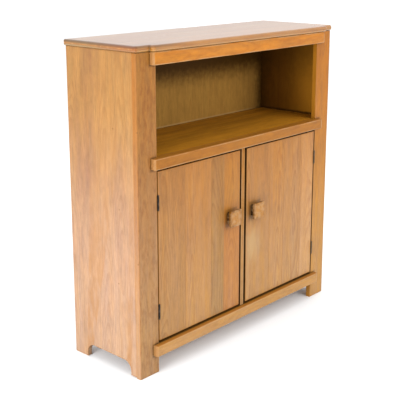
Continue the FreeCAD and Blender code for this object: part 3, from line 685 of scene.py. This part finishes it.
def screw_heads(node):
    """Slotted heads S(u, v) on a square grid drawn onto a disc, one for each screw of a node.

    The disc's point is u sqrt(1 - v²/2), v sqrt(1 - u²/2); its height is a shallow dome less the
    slot's depth where |v| is under half the slot's width, and the rim goes down into the wood.
    """
    size = metal()
    half_slot = size.half_slot
    upper = np.r_[half_slot, half_slot + 0.03, 0.45, 0.75, 1]
    grid_u, grid_v = np.meshgrid(np.linspace(-1, 1, 9), np.r_[-upper[::-1], upper], indexing="ij")
    across = grid_u * np.sqrt(1 - grid_v ** 2 / 2)
    up = grid_v * np.sqrt(1 - grid_u ** 2 / 2)
    rim = np.maximum(np.abs(grid_u), np.abs(grid_v)) > 0.999
    slot = size.slot_depth * (np.abs(grid_v) <= half_slot)
    height = np.where(rim, -2 * size.dome, size.dome * (1.6 - across ** 2 - up ** 2) - slot)
    proud = height - (edges().back_recess if node == "back_panel_screws" else 0)
    dice = dice_of(node)
    heads = []
    for cloud in solids(node):
        spread = np.ptp(cloud, axis=0)
        axis = int(np.argmax(spread))
        middle = (cloud.max(0) + cloud.min(0)) / 2
        away = np.linalg.norm(np.delete(cloud - middle, axis, 1), axis=1)
        side = np.sign(cloud[away > away.max() - 1e-4, axis].mean() - middle[axis])
        radius = away.max()
        first, second = [a for a in (0, 1, 2) if a != axis]
        angle = dice.uniform(0, math.pi)
        head = np.empty((*height.shape, 3))
        head[..., first] = middle[first] + radius * (across * math.cos(angle) - up * math.sin(angle))
        head[..., second] = middle[second] + radius * (across * math.sin(angle) + up * math.cos(angle))
        head[..., axis] = middle[axis] + side * (spread[axis] / 2 + proud)
        outward = side * (1 if axis != 1 else -1)
        heads.append(head if outward > 0 else head[::-1])
    points = np.concatenate(heads).reshape(-1, 3)
    first = np.arange(len(heads)) * height.size
    faces = (grid_faces(*height.shape) + first[:, None, None]).reshape(-1, 4).tolist()
    dress(put_mesh(node + "_heads", points, faces, finish(SLOT_OF[node])), node)


# Finishes.
STEEP = 100.0  # lifts a distance past every reach as soon as it is over zero
AMBER_TOP = 0.95  # height at which the wood is most amber
NOISE_MIDDLE = 0.46  # usual value of a noise
LOT_STEP, STAVE_SHIFT = 7.13, 11.0  # keep the draws and the figures of staves apart
PITH_DEPTH, PITH_SPREAD = 0.02, 0.05  # how far behind the face the pith lies
SHEEN, DULL_SHEEN = 0.22, 0.08  # specular levels outside and inside
GAP_BLUR = 0.0004  # width of the soft edge of a dark gap
BLEACH_MIDDLE = (0.056, -0.150, 0.315)
BLEACH_FALL = (19.0, 100.0, 13.0)  # how fast the bleached patch fades along each axis
KNOTS = (  # middles and radii
    ((-0.5100, -0.0418, 0.8169), 0.0035), ((-0.5083, -0.1500, 0.8185), 0.003),
    ((-0.5100, -0.1466, 0.3963), 0.003), ((-0.5100, -0.0540, 0.3085), 0.003),
    ((-0.5100, -0.0648, 0.5595), 0.003),
)
FIGURE = {  # noises in the wood: scale along and across the grain, detail, roughness
    "wander": (2.2, 9.0, 2.0, 0.5),
    "bulge": (7.0, 40.0, 2.0, 0.5),
    "fibre": (9.0, 420.0, 4.0, 0.6),
    "pore": (38.0, 1500.0, 2.0, 0.5),
    "streak": (2.5, 45.0, 4.0, 0.6),
    "cloud": (4.5, 16.0, 4.0, 0.6),
    "stain": (12.0, 60.0, 4.0, 0.65),
    "mottle": (45.0, 110.0, 3.0, 0.6),
    "rubbing": (14.0, 60.0, 3.0, 0.5),
}


class Value:
    """An output of a material's nodes, which takes part in plain arithmetic."""

    def __init__(self, nodes, socket):
        self.nodes, self.socket = nodes, socket

    def __add__(self, other):
        return self.nodes.math("ADD", self, other)

    def __sub__(self, other):
        return self.nodes.math("SUBTRACT", self, other)

    def __rsub__(self, other):
        return self.nodes.math("SUBTRACT", other, self)

    def __mul__(self, other):
        return self.nodes.math("MULTIPLY", self, other)

    def __truediv__(self, other):
        return self.nodes.math("DIVIDE", self, other)

    def __abs__(self):
        return self.nodes.math("ABSOLUTE", self)


class Nodes:
    """A material's node tree, with short calls to add nodes and to colour its body."""

    def __init__(self, name):
        self.material = bpy.data.materials.new(name)
        self.material.use_nodes = True
        self.tree = self.material.node_tree
        self.shader = next(node for node in self.tree.nodes if node.type == "BSDF_PRINCIPLED")
        self.here = self.add("TexCoord", "Object")
        self.spot = self.split(self.here)
        self.body = None

    def fill(self, node, inputs):
        """Give a node plain values or outputs, by an input's name or by i and its number."""
        for label, value in inputs.items():
            socket = node.inputs[int(label[1:]) if label[1:].isdigit() else label.replace("_", " ")]
            if isinstance(value, Value):
                self.tree.links.new(value.socket, socket)
            else:
                socket.default_value = value

    def surface(self, **inputs):
        """Set inputs of the shader."""
        self.fill(self.shader, inputs)

    def add(self, kind, output=0, settings=None, **inputs):
        """Add a node and return one of its outputs."""
        node = self.tree.nodes.new(f"ShaderNode{kind}")
        for label, value in (settings or {}).items():
            setattr(node, label, value)
        self.fill(node, inputs)
        return Value(self, node.outputs[output])

    def split(self, vector):
        """The three parts of a vector or a colour."""
        node = self.tree.nodes.new("ShaderNodeSeparateXYZ")
        self.fill(node, {"Vector": vector})
        return [Value(self, output) for output in node.outputs]

    def math(self, operation, first, second=0.0, third=0.0):
        return self.add("Math", 0, {"operation": operation}, i0=first, i1=second, i2=third)

    def most(self, first, second):
        return self.math("MAXIMUM", first, second)

    def hypotenuse(self, first, second):
        return self.math("SQRT", first * first + second * second)

    def vector(self, operation, first, second=(0.0, 0.0, 0.0), output="Vector"):
        return self.add("VectorMath", output, {"operation": operation}, i0=first, i1=second)

    def attribute(self, name, output="Fac"):
        return self.add("Attribute", output, {"attribute_name": name})

    def ramp(self, value, low, high):
        """0 below low, 1 above high, smooth in between."""
        settings = {"interpolation_type": "SMOOTHSTEP"}
        return self.add("MapRange", 0, settings, Value=value, From_Min=low, From_Max=high)

    def band(self, value, start, full, fading, end):
        """1 between full and fading, 0 before start and after end."""
        return self.ramp(value, start, full) * (1 - self.ramp(value, fading, end))

    def noise(self, vector, scale, detail=3.0, roughness=0.5):
        """Noise on a vector stretched by one scale, or by one for each axis."""
        scale = scale if isinstance(scale, tuple) else (scale, scale, scale)
        return self.add("TexNoise", "Fac", Vector=self.vector("MULTIPLY", vector, scale), Scale=1.0,
                        Detail=detail, Roughness=roughness)

    def mix(self, factor, first, second, blend="MIX"):
        """Mixed colours; a colour is an output or three shares."""
        first, second = (one if isinstance(one, Value) else (*one, 1.0) for one in (first, second))
        settings = {"data_type": "RGBA", "blend_type": blend}
        return self.add("Mix", 2, settings, i0=factor, i6=first, i7=second)

    def paint(self, factor, colour):
        """Lay a colour over the body."""
        self.body = self.mix(factor, self.body, colour)

    def tint(self, factor, colour):
        """Multiply the body's colour by another."""
        self.body = self.mix(factor, self.body, colour, "MULTIPLY")


def blend(first, share_of_first, second, share_of_second):
    """Two colours added by their shares."""
    return [share_of_first * a + share_of_second * b for a, b in zip(first, second)]


def figured_wood(gloss, worn, dull, rings=0.25, rub=0.6):
    """Waxed wood: year rings round a wandering pith, streaks, pores, tints and worn edges.

    Rings: the distance from the pith plus a drift along the board, divided by the ring's width.
    The pith lies behind the board at a place that each stave draws for itself. The wood is
    darker and more amber towards the top of the cabinet.
    """
    look = wood()
    n = Nodes("figured_wood")
    height = n.spot[2]
    from_end, stave, from_face = n.split(n.attribute("grain", "Vector"))
    lot = n.math("FLOOR", stave) * LOT_STEP + n.attribute("lot")
    chance = n.split(n.add("TexWhiteNoise", "Color", {"noise_dimensions": "1D"}, W=lot))
    along = chance[0] * STAVE_SHIFT + from_end
    across = (n.math("FRACT", stave) + chance[1] - 1.0) * n.attribute("stave")
    through = chance[2] * PITH_SPREAD + PITH_DEPTH + from_face
    place = n.add("CombineXYZ", X=along, Y=across, Z=through)
    wander, bulge, fibre, pore, streak, cloud, stain, mottle, rubbing = (
        n.noise(place, (lengthwise, crosswise, crosswise), detail, roughness)
        for lengthwise, crosswise, detail, roughness in FIGURE.values())

    drift = along * look.taper + wander * 0.055 + bulge * 0.005
    ring = n.math("FRACT", (n.hypotenuse(across, through) + drift) / look.ring_width)
    late = n.band(ring, 0.35, 0.9, 0.92, 1.0)
    pores = n.ramp(pore, 0.60, 0.72)
    tone, drab, rosiness = n.split(n.attribute("tint", "Vector"))
    # Honey near the floor, turning to a darker amber towards the top.
    n.body = n.mix(n.ramp(height, 0.0, AMBER_TOP), look.honey, look.amber)
    rosy = rosiness * (n.ramp(height, 0.05, 0.85) * 0.95 + 0.72)
    rosy = rosy + (streak - NOISE_MIDDLE) * 1.1 - (stain - NOISE_MIDDLE) * 0.5
    rosy = n.math("MINIMUM", n.most(rosy, -0.35), 2.4)
    flush = n.vector("MULTIPLY", rosy, [value - 1 for value in look.rose])
    n.tint(1.0, n.vector("ADD", flush, (1.0, 1.0, 1.0)))
    n.tint(n.ramp(cloud, 0.47, 0.70) * (n.ramp(height, 0.1, 0.7) * 0.45 + 0.30), look.mauve)
    n.tint(drab, look.drab)
    n.paint(n.attribute("inside"), dull)
    n.tint(late * rings, look.late)
    shade = fibre * 0.36 + chance[0] * 0.10 + mottle * 0.35 + stain * 0.68 + 0.265
    n.tint(1.0, shade * tone)
    n.tint(pores * 0.28, look.pore)
    rubbed = n.attribute("wear") * n.ramp(rubbing, 0.30, 0.62) * (1 - n.attribute("inside"))
    n.paint(rubbed * rub, worn)
    relief = late * 0.35 + fibre * 0.4 - pores
    n.surface(Roughness=fibre * 0.22 - late * 0.05 + (gloss - 0.11), Specular_IOR_Level=SHEEN,
              Normal=n.add("Bump", Height=relief, Strength=0.22, Distance=0.0005))
    return n


def away(n, low, high):
    """Distance from a box in the front view, mirrored about the middle; negative in the box."""
    middle, half = (low + high) / 2, (high - low) / 2
    beside = abs(abs(n.spot[0]) - middle.x) - half.x
    return n.most(beside, abs(n.spot[2] - middle.z) - half.z)


def dirt_and_shade(n, distance, reach, strength):
    """Dark colour that fades with a distance, patchily: dirt in some places, and painted shade in
    corners, recesses and under parts in others.
    """
    uneven = distance - n.noise(n.here, 60.0) * reach
    n.paint((1 - n.ramp(uneven, -0.8 * reach, reach)) * strength, wood().grime_and_shade)


def gap_shade(n, distance, low, high, start=0.0008):
    """Painted shade in a gap: dark wood from a little behind the front face where a distance lies between
    two limits.
    """
    look = wood()
    deep = n.ramp(n.spot[1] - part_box("right_front_stile")[0].y, start, start + 0.0017)
    gap = n.band(distance, low - GAP_BLUR, low, high, high + GAP_BLUR)
    # Painted shade: brown in the gaps at the far left, turning near black towards the middle.
    brown = blend(look.bare, 0.65, look.ledge, 0.35)
    n.paint(gap * deep * 0.9, n.mix(n.ramp(n.spot[0], -0.40, -0.01), brown, look.grime_and_shade))


def door_box():
    """Lowest and highest corners of the right door's boards."""
    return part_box("right_door_board_4")[0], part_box("right_door_board_1")[1]


def case_wood():
    """Side and stile wood: dirt and painted shade round the rail ends, painted shade under the top, in
    the niche, beside the doors and on the sides' upper part, a niche painted lighter towards its opening,
    clouds and small knots.
    """
    look = wood()
    n = figured_wood(look.roughness, look.arris, look.bare)
    x, y, z = n.spot
    wall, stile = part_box("right_side_panel")[0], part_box("right_front_stile")[0]
    # Dirt and painted shade where the rails meet the stiles.
    for node in RAILS:
        low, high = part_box(node)
        dirt_and_shade(n, away(n, Vector((0, 0, low.z)), high), reach=0.006, strength=0.75)
    # Painted shade under the top's overhang.
    dirt_and_shade(n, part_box("top_board")[0].z - 0.001 - z, reach=0.0025, strength=0.45)

    off_wall = n.most(abs(abs(x) - wall.x), wall.y + 0.001 - y) * STEEP
    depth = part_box("back_panel")[0].y - y
    # Painted light: the inner faces turn lighter towards the front, where light falls into the niche.
    n.paint(n.attribute("inside") * n.ramp(depth, 0.12, 0.30) * 0.9, look.ledge)
    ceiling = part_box("top_rail")[0].z - 0.05 - z
    foot = abs(z - (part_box("middle_rail")[1].z + 0.003)) - 0.004
    # Painted shade on the inner walls: in the back corners, down from the top and in a band along the
    # shelf.
    for distance, reach, strength in ((depth, 0.05, 0.90), (ceiling, 0.10, 0.55), (foot, 0.003, 0.95)):
        dirt_and_shade(n, n.most(distance, off_wall), reach, strength)
    # Painted shade in the gaps beside the doors.
    gap_shade(n, away(n, *door_box()), 0.003, 0.0052, -0.0010)

    outer = n.ramp(abs(x), 0.5080, 0.5095)
    strip = 1 - n.ramp(y, wall.y - 0.001, wall.y)
    n.tint(outer * strip, n.mix(n.ramp(z, 0.0, AMBER_TOP), look.blush, look.salmon))
    # Painted shade: the outer faces grow darker towards the top.
    n.tint(outer * n.ramp(z, 0.60, 1.05) * 0.35, look.mauve)
    left_front = (1 - n.ramp(y, stile.y + 0.0005, stile.y + 0.0015)) * (1 - n.ramp(x, -0.1, 0.1))
    blotches = n.ramp(n.noise(n.here, (110.0, 110.0, 35.0), 4.0, 0.6), 0.46, 0.66)
    n.tint(left_front * blotches * 0.40, look.late)
    ragged = n.ramp(n.noise(n.here, (30.0, 30.0, 5.0)), 0.30, 0.62)
    heart = n.band(y, 0.035, 0.060, 0.125, 0.165) * ragged * n.ramp(z, 0.25, 0.60)
    n.tint(heart * 0.8, look.mauve)
    for middle, radius in KNOTS:
        gap = n.vector("DISTANCE", n.here, middle, "Value")
        n.paint((1 - n.ramp(gap, 0.4 * radius, 1.3 * radius)) * 0.55, look.rim)
    return n


def door_wood():
    """Door wood: dirt round the knobs with painted shade close to them, painted shade in the gaps, a
    redder board and a bleached patch under the right knob.
    """
    look = wood()
    n = figured_wood(look.roughness, look.arris, look.bare, rings=0.40)
    x, y, z = n.spot
    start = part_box("left_door_board_4")[0].x
    redder = n.ramp(x, start - 0.0005, start) * n.math("LESS_THAN", x, 0.0)
    n.tint(redder * (1 - n.ramp(z, 0.42, 0.54)), look.russet)
    off_face = (y - (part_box("right_door_board_1")[0].y + 0.002)) * STEEP
    handled = n.most(away(n, *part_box("right_knob")), off_face)
    dirt_and_shade(n, handled, reach=0.030, strength=0.12)
    # Dirt with painted shade close round the knob.
    dirt_and_shade(n, handled, reach=0.004, strength=0.35)
    # Painted shade in the gaps round the doors.
    gap_shade(n, away(n, *door_box()), -0.0012, 0.001)
    offset = n.vector("MULTIPLY", n.vector("SUBTRACT", n.here, BLEACH_MIDDLE), BLEACH_FALL)
    ragged = n.vector("LENGTH", offset, output="Value") + n.noise(n.here, (90.0, 90.0, 25.0)) * 1.2
    n.paint((1 - n.ramp(ragged, 0.7, 1.9)) * 0.6, look.straw)
    return n


def rail_wood():
    """Rail wood: amber ledges, painted shade under the doors and handled ends."""
    look = wood()
    n = figured_wood(look.roughness, look.worn, look.ledge)
    x, y, z = n.spot
    reach, _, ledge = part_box("bottom_rail")[1]
    deep = n.ramp(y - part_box("right_front_stile")[0].y, -0.004, -0.001)
    # Painted shade: the rail's top turns dark in the gap under the doors, behind their faces.
    dirt = n.band(z - (ledge - 0.001), 0.0, 0.0008, 0.01, 0.02) * deep
    n.paint(dirt * 0.9, look.grime_and_shade)
    for level in (ledge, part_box("middle_rail")[1].z):
        n.paint(n.math("COMPARE", z, level, 0.0012) * (1 - dirt) * 0.85, look.amber)
    end = n.ramp(abs(x), reach - 0.006, reach - 0.003)
    n.paint(end * 0.85, blend(look.arris, 0.75, look.worn, 0.2))
    return n


def top_wood():
    """Top's wood under a thick coat of wax: streaks and scuffs on the flat, a darkened nose with a
    painted highlight along its lower edge, and dirt with painted shade in the steps' corners.
    """
    look = wood()
    n = figured_wood(look.roughness - 0.06, look.worn, look.bare, rub=0.3)
    x, y, z = n.spot
    reach, _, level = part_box("top_board")[1]
    nose = n.attribute("wear")
    flat = 1 - nose
    streaks = n.ramp(n.noise(n.here, (1.3, 45.0, 45.0), 3.0, 0.55), 0.44, 0.62)
    n.tint(streaks * flat * 0.45, look.late)
    scuffs = n.ramp(n.noise(n.here, (3.0, 90.0, 90.0), 3.0, 0.6), 0.52, 0.66)
    n.paint(scuffs * flat * 0.35, look.straw)
    # Painted highlight: a pale band along the nose's lower edge, where light from the floor would fall.
    n.paint(nose * (1 - n.ramp(z, level - 0.018, level - 0.013)) * 0.5, look.worn)
    n.tint(nose * 0.8, look.waxed)
    upper = nose * n.ramp(z, level - 0.010, level - 0.004)
    n.paint(upper * (1 - n.ramp(x, -0.46, -0.25)) * 0.80, look.rim)
    end = nose * n.ramp(abs(x), reach - 0.012, reach - 0.006)
    rear = n.ramp(y, -0.10, 0.08)
    n.tint(end * rear, look.drab)
    n.tint(end * (1 - rear) * 0.75, look.late)
    # Dirt and painted shade in the inner corners of the top's steps.
    stile_low, stile_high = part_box("right_front_stile")
    overhang = reach - stile_high.x
    from_step = abs(x) - (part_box("top_rail")[1].x + overhang)
    dirt_and_shade(n, n.hypotenuse(from_step, y - (stile_low.y - overhang)), reach=0.006, strength=0.75)
    n.surface(Coat_Weight=0.8, Coat_Roughness=0.32)
    return n


def inside_wood():
    """Shelf and partition wood: streaks, denser towards the back as painted shade, dirt and painted shade
    at the back, and painted shade on the partition's edges in the gaps.
    """
    look = wood()
    n = figured_wood(look.roughness + 0.15, look.worn, look.ledge)
    x, y, z = n.spot
    low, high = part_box("centre_partition")
    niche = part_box("middle_rail")[0].z
    elsewhere = n.most(y - (low.y + 0.02), z - niche) * STEEP
    # Painted shade, with some dirt, on the partition's walls in the door gaps.
    gap_shade(n, n.most(abs(x), elsewhere), high.x - 0.0003, high.x + 0.0006)
    n.tint((1 - n.ramp(z, niche, niche + 0.005)) * n.attribute("inside"), look.shut)
    # Streaks in the grain, painted denser towards the back, which also paints the shelves darker there as
    # shade.
    streaks = n.ramp(n.noise(n.here, (2.5, 38.0, 38.0), 4.0, 0.6), 0.40, 0.62)
    n.paint(streaks * (n.ramp(y, -0.13, 0.06) * 0.30 + 0.12), look.bare)
    # Dirt and painted shade where the shelves meet the back.
    dirt_and_shade(n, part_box("back_panel")[0].y - y, reach=0.010, strength=0.8)
    n.surface(Specular_IOR_Level=DULL_SHEEN)
    return n


def back_wood():
    """Back panel, darkened along its upright edges and under the top as painted shade, with a pale line
    at the shelf.
    """
    look = wood()
    n = figured_wood(look.roughness + 0.2, look.worn, look.panel)
    x, y, z = n.spot
    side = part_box("right_side_panel")[0].x - abs(x)
    off_face = (y - (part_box("back_panel")[0].y + 0.001)) * STEEP
    # Painted shade along the upright corners and down from the top.
    dirt_and_shade(n, n.most(side, off_face), reach=0.038, strength=0.95)
    dirt_and_shade(n, n.most(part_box("top_rail")[0].z - 0.092 - z, off_face), reach=0.05, strength=0.93)
    foot = n.most(abs(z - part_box("middle_rail")[1].z), off_face)
    n.paint((1 - n.ramp(foot, 0.004, 0.007)) * n.ramp(side, 0.02, 0.10) * 0.35, look.straw)
    n.surface(Specular_IOR_Level=DULL_SHEEN)
    return n


def knob_wood():
    """Knob wood, mottled by handling and pitted with dirt."""
    look = wood()
    n = figured_wood(look.roughness, look.rim, look.bare, rub=0.7)
    n.paint(n.ramp(n.noise(n.here, 70.0), 0.42, 0.62) * 0.45, look.worn)
    n.paint(n.ramp(n.noise(n.here, 260.0, 2.0), 0.60, 0.70) * 0.55, look.rim)
    return n


def steel(tone, bloom, roughness, lit_right_tone=None):
    """Old steel: a dull metal with a brown bloom in patches, whose colour may be lighter on the right
    side as a painted highlight.
    """
    n = Nodes("steel")
    if lit_right_tone is not None:
        tone = n.mix(n.ramp(n.spot[0], -0.1, 0.1), tone, lit_right_tone)
    patches = n.ramp(n.noise(n.here, 110.0, 4.0), 0.45, 0.68)
    scratches = n.noise(n.here, (400.0, 400.0, 60.0))
    n.body = n.mix(patches * bloom, tone, metal().rust)
    n.surface(Roughness=scratches * 0.25 + (roughness - 0.1), Metallic=0.95 - patches * 0.6,
              Normal=n.add("Bump", Height=scratches, Strength=0.15, Distance=0.0002))
    return n


def moulded_block():
    """Brown moulded block of the catches, faintly marbled and dulled by handling."""
    n = Nodes("moulded_block")
    marble = n.noise(n.here, 90.0, 4.0)
    tone = metal().block
    n.body = n.mix(marble, tone, [value * 1.8 for value in tone])
    n.surface(Roughness=marble * 0.3 + 0.32)
    return n


def finish(slot):
    """The material of a slot, made when it is first asked for."""
    name = f"finish_{slot}"
    if name not in bpy.data.materials:
        hard = metal()
        makers = {
            "case_wood": case_wood, "rail_wood": rail_wood, "top_wood": top_wood,
            "door_wood": door_wood, "knob_wood": knob_wood, "inside_wood": inside_wood,
            "back_wood": back_wood, "catch_block": moulded_block,
            # The right hinges get a lighter steel as a painted highlight.
            "hinge_steel": lambda: steel(hard.hinge, 0.5, 0.42, hard.rubbed),
            "screw_steel": lambda: steel(hard.screw, 0.6, 0.40),
            "strike_steel": lambda: steel(hard.strike, 0.35, 0.33),
        }
        n = makers[slot]()
        n.surface(Base_Color=n.body)
        n.material.name = name
    return bpy.data.materials[name]


# Operators.
class CabinetOperator:
    """What the cabinet's operators share."""

    bl_options = {"REGISTER", "UNDO"}


class CABINET_OT_case(CabinetOperator, bpy.types.Operator):
    """Make the sides and the front stiles"""

    bl_idname = "cabinet.case"
    bl_label = "Case"

    def execute(self, context):
        for side in SIDES:
            side_panel(side)
            front_stile(side)
        return {"FINISHED"}


class CABINET_OT_rails(CabinetOperator, bpy.types.Operator):
    """Make the three rails that lap over the stiles"""

    bl_idname = "cabinet.rails"
    bl_label = "Rails"

    def execute(self, context):
        for node in RAILS:
            rail(node)
        return {"FINISHED"}


class CABINET_OT_top(CabinetOperator, bpy.types.Operator):
    """Make the top and the battens under it"""

    bl_idname = "cabinet.top"
    bl_label = "Top"

    def execute(self, context):
        top_board()
        for side in SIDES:
            plain_board(f"{side}_top_batten", "xz", "y", edges().seam, edges().seam)
        return {"FINISHED"}


class CABINET_OT_inside(CabinetOperator, bpy.types.Operator):
    """Make the shelves, the cupboard floor, the partition and the back"""

    bl_idname = "cabinet.inside"
    bl_label = "Inside"

    def execute(self, context):
        for node in ("niche_shelf", "cupboard_floor", "left_cupboard_shelf", "right_cupboard_shelf"):
            plain_board(node, "xy", "x", edges().seam, edges().seam, staves=3)
        centre_partition()
        low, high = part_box("back_panel")
        span = (low.y, high.y - edges().back_recess)
        plain_board("back_panel", "xz", "z", edges().seam, edges().seam, staves=5, span=span,
                    inside=lambda points: 1 - rise(points[:, 1] - low.y, 0.001, 0.004))
        return {"FINISHED"}


class CABINET_OT_doors(CabinetOperator, bpy.types.Operator):
    """Make the door boards and the cleats behind them"""

    bl_idname = "cabinet.doors"
    bl_label = "Doors"

    def execute(self, context):
        for side in SIDES:
            for number in DOOR_BOARDS:
                door_board(side, number)
            for level in ("upper", "lower"):
                plain_board(f"{side}_door_{level}_cleat", "xz", "x", edges().seam, edges().cleat)
        return {"FINISHED"}


class CABINET_OT_knobs(CabinetOperator, bpy.types.Operator):
    """Make the square knobs"""

    bl_idname = "cabinet.knobs"
    bl_label = "Knobs"

    def execute(self, context):
        for side in SIDES:
            knob(side)
        return {"FINISHED"}


class CABINET_OT_metalwork(CabinetOperator, bpy.types.Operator):
    """Finish the hinges, catches and strikes and make the screw heads"""

    bl_idname = "cabinet.metalwork"
    bl_label = "Metalwork"

    def execute(self, context):
        for node, slot in SLOT_OF.items():
            if slot == "screw_steel":
                screw_heads(node)
            elif slot in ("hinge_steel", "strike_steel", "catch_block"):
                for place in frame["nodes"][node].material_slots:
                    place.material = finish(slot)
        return {"FINISHED"}


def soft_light(name, place, target, width, height, power, glints=False):
    """A large rectangular light that faces a point; without glints it isn't mirrored in the wax."""
    lamp = bpy.data.lights.new(name, "AREA")
    lamp.shape = "RECTANGLE"
    lamp.size, lamp.size_y, lamp.energy = width, height, power
    light = bpy.data.objects.new(name, lamp)
    light.location = place
    light.visible_glossy = glints
    light.rotation_euler = (Vector(target) - Vector(place)).to_track_quat("-Z", "Y").to_euler()
    bpy.context.scene.collection.objects.link(light)


class CABINET_OT_stage(CabinetOperator, bpy.types.Operator):
    """Make the camera, the pale floor, the white surround and the soft lights"""

    bl_idname = "cabinet.stage"
    bl_label = "Stage"

    def execute(self, context):
        scene = context.scene
        stage = scene.cabinet_stage
        lens = bpy.data.cameras.new("photo_camera")
        lens.sensor_width = SENSOR_WIDTH
        lens.lens = stage.focal_pixels * SENSOR_WIDTH / PHOTO_PIXELS
        lens.shift_y = stage.centre_row / PHOTO_PIXELS - 0.5
        camera = bpy.data.objects.new("photo_camera", lens)
        camera.location = stage.eye
        camera.rotation_euler = Euler((math.pi / 2 - stage.dip, 0, -stage.heading))
        scene.collection.objects.link(camera)
        scene.camera = camera

        world = bpy.data.worlds.new("white_surround")
        world.use_nodes = True
        sky = next(node for node in world.node_tree.nodes if node.type == "BACKGROUND")
        sky.inputs["Color"].default_value = (1.0, 1.0, 1.0, 1.0)
        sky.inputs["Strength"].default_value = stage.sky
        scene.world = world
        scene.view_settings.view_transform = "Standard"

        n = Nodes("pale_floor")
        mottled = n.mix(n.noise(n.here, 3.0, 2.0), stage.floor, [v * 0.99 for v in stage.floor])
        n.surface(Base_Color=mottled, Roughness=0.9)
        side = np.linspace(-FLOOR_HALF, FLOOR_HALF, FLOOR_POINTS)
        grid_x, grid_y = np.meshgrid(side, side, indexing="ij")
        points = np.stack([grid_x, grid_y, np.zeros_like(grid_x)], -1).reshape(-1, 3)
        faces = grid_faces(FLOOR_POINTS, FLOOR_POINTS).tolist()
        put_mesh("floor", points, faces, n.material)

        soft_light("key_light", (-3.1, -0.3, 0.9), (-0.45, 0.0, 0.4), 2.0, 1.6, stage.key)
        soft_light("overhead_light", (-0.3, 0.6, 3.6), (0.0, 0.0, 0.6), 3.0, 3.0, stage.overhead, True)
        soft_light("front_light", (0.4, -3.0, 1.95), (0.0, -0.1, 0.7), 2.0, 1.2, stage.front)
        return {"FINISHED"}


class CABINET_PT_panel(bpy.types.Panel):
    """Lists the cabinet's pieces and their sizes"""

    bl_idname = "CABINET_PT_panel"
    bl_label = "Console Cabinet"
    bl_space_type = "VIEW_3D"
    bl_region_type = "UI"
    bl_category = "Cabinet"

    def draw(self, context):
        layout = self.layout
        for operator in OPERATORS:
            layout.operator(operator.bl_idname)
        for label, group in GROUPS.items():
            box = layout.box()
            box.label(text=group.__doc__)
            settings = getattr(context.scene, label)
            for name in group.__annotations__:
                box.prop(settings, name)


OPERATORS = (
    CABINET_OT_case, CABINET_OT_rails, CABINET_OT_top, CABINET_OT_inside, CABINET_OT_doors,
    CABINET_OT_knobs, CABINET_OT_metalwork, CABINET_OT_stage,
)
GROUPS = {
    "cabinet_edges": CabinetEdges, "cabinet_knobs": CabinetKnobs, "cabinet_wood": CabinetWood,
    "cabinet_metal": CabinetMetal, "cabinet_stage": CabinetStage,
}


def register():
    for one in (*GROUPS.values(), *OPERATORS, CABINET_PT_panel):
        bpy.utils.register_class(one)
    for label, group in GROUPS.items():
        setattr(bpy.types.Scene, label, PointerProperty(type=group))


def unregister():
    for label in GROUPS:
        delattr(bpy.types.Scene, label)
    for one in (CABINET_PT_panel, *reversed(OPERATORS), *reversed(GROUPS.values())):
        bpy.utils.unregister_class(one)


def main():
    register()
    cabinet = bpy.ops.cabinet
    for make in (cabinet.case, cabinet.rails, cabinet.top, cabinet.inside, cabinet.doors,
                 cabinet.knobs, cabinet.metalwork, cabinet.stage):
        make()


if __name__ == "__main__":
    main()
